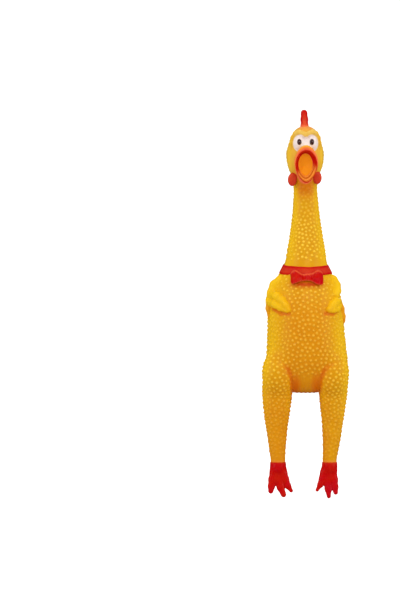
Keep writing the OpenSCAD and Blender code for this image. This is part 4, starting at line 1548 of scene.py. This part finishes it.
# ---------------------------------------------------------------- studio


# Where the camera looks, and how much height it takes in at the chicken, in metres
VIEW_X, VIEW_Z, VIEW_HEIGHT = -0.1081, 0.0307, 0.6146


class CHICKEN_OT_studio(bpy.types.Operator):
    """Build the pale sweep, the softboxes and the camera"""

    bl_idname = "chicken.studio"
    bl_label = "Studio"

    def execute(self, context):
        scene = context.scene
        studio = scene.chicken_studio
        floor_z = CAD_BOX[0][2] - 0.0012
        sweep, points = [], []
        for n in range(13):
            a = math.pi / 2 * n / 12
            sweep.append((3.2 + 0.8 * math.sin(a), floor_z + 0.8 * (1 - math.cos(a))))
        sweep = [(-6.0, floor_z), (0.4, floor_z)] + sweep + [(4.0, 8.0)]
        for y, z in sweep:
            points += [(-6.0, y, z), (6.0, y, z)]
        faces = [(2 * n, 2 * n + 1, 2 * n + 3, 2 * n + 2) for n in range(len(sweep) - 1)]
        mesh = bpy.data.meshes.new("paper_sweep")
        mesh.from_pydata(points, [], faces)
        mesh.polygons.foreach_set("use_smooth", [True] * len(faces))
        paper = bpy.data.objects.new("paper_sweep", mesh)
        scene.collection.objects.link(paper)
        m = bpy.data.materials.new("White paper")
        m.use_nodes = True
        tree = m.node_tree
        shader = tree.nodes["Principled BSDF"]
        shader.inputs["Base Color"].default_value = (0.7, 0.7, 0.7, 1)
        shader.inputs["Roughness"].default_value = 0.9
        shader.inputs["Specular IOR Level"].default_value = 0.1
        shader.inputs["Emission Color"].default_value = (1, 1, 1, 1)
        seen = node(tree, "LightPath").outputs["Is Camera Ray"]
        tree.links.new(maths(tree, "MULTIPLY", seen, 0.75), shader.inputs["Emission Strength"])
        mesh.materials.append(m)
        paper.visible_glossy = False

        world = bpy.data.worlds.new("White room")
        scene.world = world
        world.use_nodes = True
        tree = world.node_tree
        seen = node(tree, "LightPath")
        dimmed = studio.room_gloss - studio.world_light
        level = maths(tree, "MULTIPLY_ADD", seen.outputs["Is Glossy Ray"], dimmed, studio.world_light)
        level = maths(tree, "MAXIMUM", level, seen.outputs["Is Camera Ray"])
        back = tree.nodes["Background"]
        back.inputs["Color"].default_value = (1, 1, 1, 1)
        tree.links.new(level, back.inputs["Strength"])

        aim = Vector((0, 0, 0.03))
        for name, place, size, power in (
            ("left_softbox", (-0.95, -0.55, 0.25), (0.5, 1.3), studio.side_light),
            ("right_softbox", (0.95, -0.55, 0.25), (0.5, 1.3), studio.side_light),
            ("front_softbox", (0.15, -1.5, 0.95), (0.9, 0.6), studio.front_light),
            ("strip_light", (0.12, -1.6, 0.9), (1.1, 0.06), studio.strip_light),
            ("back_softbox", (0.2, 1.6, 0.95), (0.9, 0.6), studio.front_light * 0.9),
            ("top_softbox", (0.0, -0.1, 1.2), (0.8, 0.8), studio.front_light * 0.8),
        ):
            data = bpy.data.lights.new(name, "AREA")
            data.shape, data.size, data.size_y = "RECTANGLE", size[0], size[1]
            data.energy = power
            lamp = bpy.data.objects.new(name, data)
            lamp.location = place
            lamp.rotation_euler = (aim - Vector(place)).to_track_quat("-Z", "Y").to_euler()
            scene.collection.objects.link(lamp)

        camera_data = bpy.data.cameras.new("studio_camera")
        camera = bpy.data.objects.new("studio_camera", camera_data)
        scene.collection.objects.link(camera)
        scene.camera = camera
        camera_data.sensor_width = 36
        camera_data.lens = 36 * studio.distance / VIEW_HEIGHT
        camera_data.clip_start, camera_data.clip_end = 0.05, 50
        camera.location = (VIEW_X, -studio.distance, VIEW_Z)
        camera.rotation_euler = (math.pi / 2, 0, 0)
        scene.view_settings.view_transform = "Standard"
        scene.view_settings.look = "None"
        return {"FINISHED"}


class CHICKEN_PT_panel(bpy.types.Panel):
    """Settings and steps of the chicken"""

    bl_idname = "CHICKEN_PT_panel"
    bl_label = "Rubber chicken"
    bl_space_type = "VIEW_3D"
    bl_region_type = "UI"
    bl_category = "Chicken"

    def draw(self, context):
        for settings in (context.scene.chicken_skin, context.scene.chicken_paint, context.scene.chicken_studio):
            box = self.layout.box()
            for key in settings.bl_rna.properties.keys():
                if key not in ("rna_type", "name"):
                    box.prop(settings, key)
        for step in STEPS:
            self.layout.operator(step.bl_idname)


STEPS = (
    CHICKEN_OT_skin,
    CHICKEN_OT_collar,
    CHICKEN_OT_bow,
    CHICKEN_OT_comb,
    CHICKEN_OT_wattles,
    CHICKEN_OT_beak,
    CHICKEN_OT_mouth,
    CHICKEN_OT_pupils,
    CHICKEN_OT_feet,
    CHICKEN_OT_whistle,
    CHICKEN_OT_studio,
)
GROUPS = {"chicken_skin": ChickenSkin, "chicken_paint": ChickenPaint, "chicken_studio": ChickenStudio}


def register():
    for name, cls in GROUPS.items():
        bpy.utils.register_class(cls)
        setattr(bpy.types.Scene, name, bpy.props.PointerProperty(type=cls))
    for cls in STEPS + (CHICKEN_PT_panel,):
        bpy.utils.register_class(cls)


def unregister():
    for cls in reversed(STEPS + (CHICKEN_PT_panel,)):
        bpy.utils.unregister_class(cls)
    for name, cls in GROUPS.items():
        delattr(bpy.types.Scene, name)
        bpy.utils.unregister_class(cls)


def main():
    register()
    for step in STEPS:
        family, name = step.bl_idname.split(".")
        getattr(getattr(bpy.ops, family), name)()


if __name__ == "__main__":
    main()
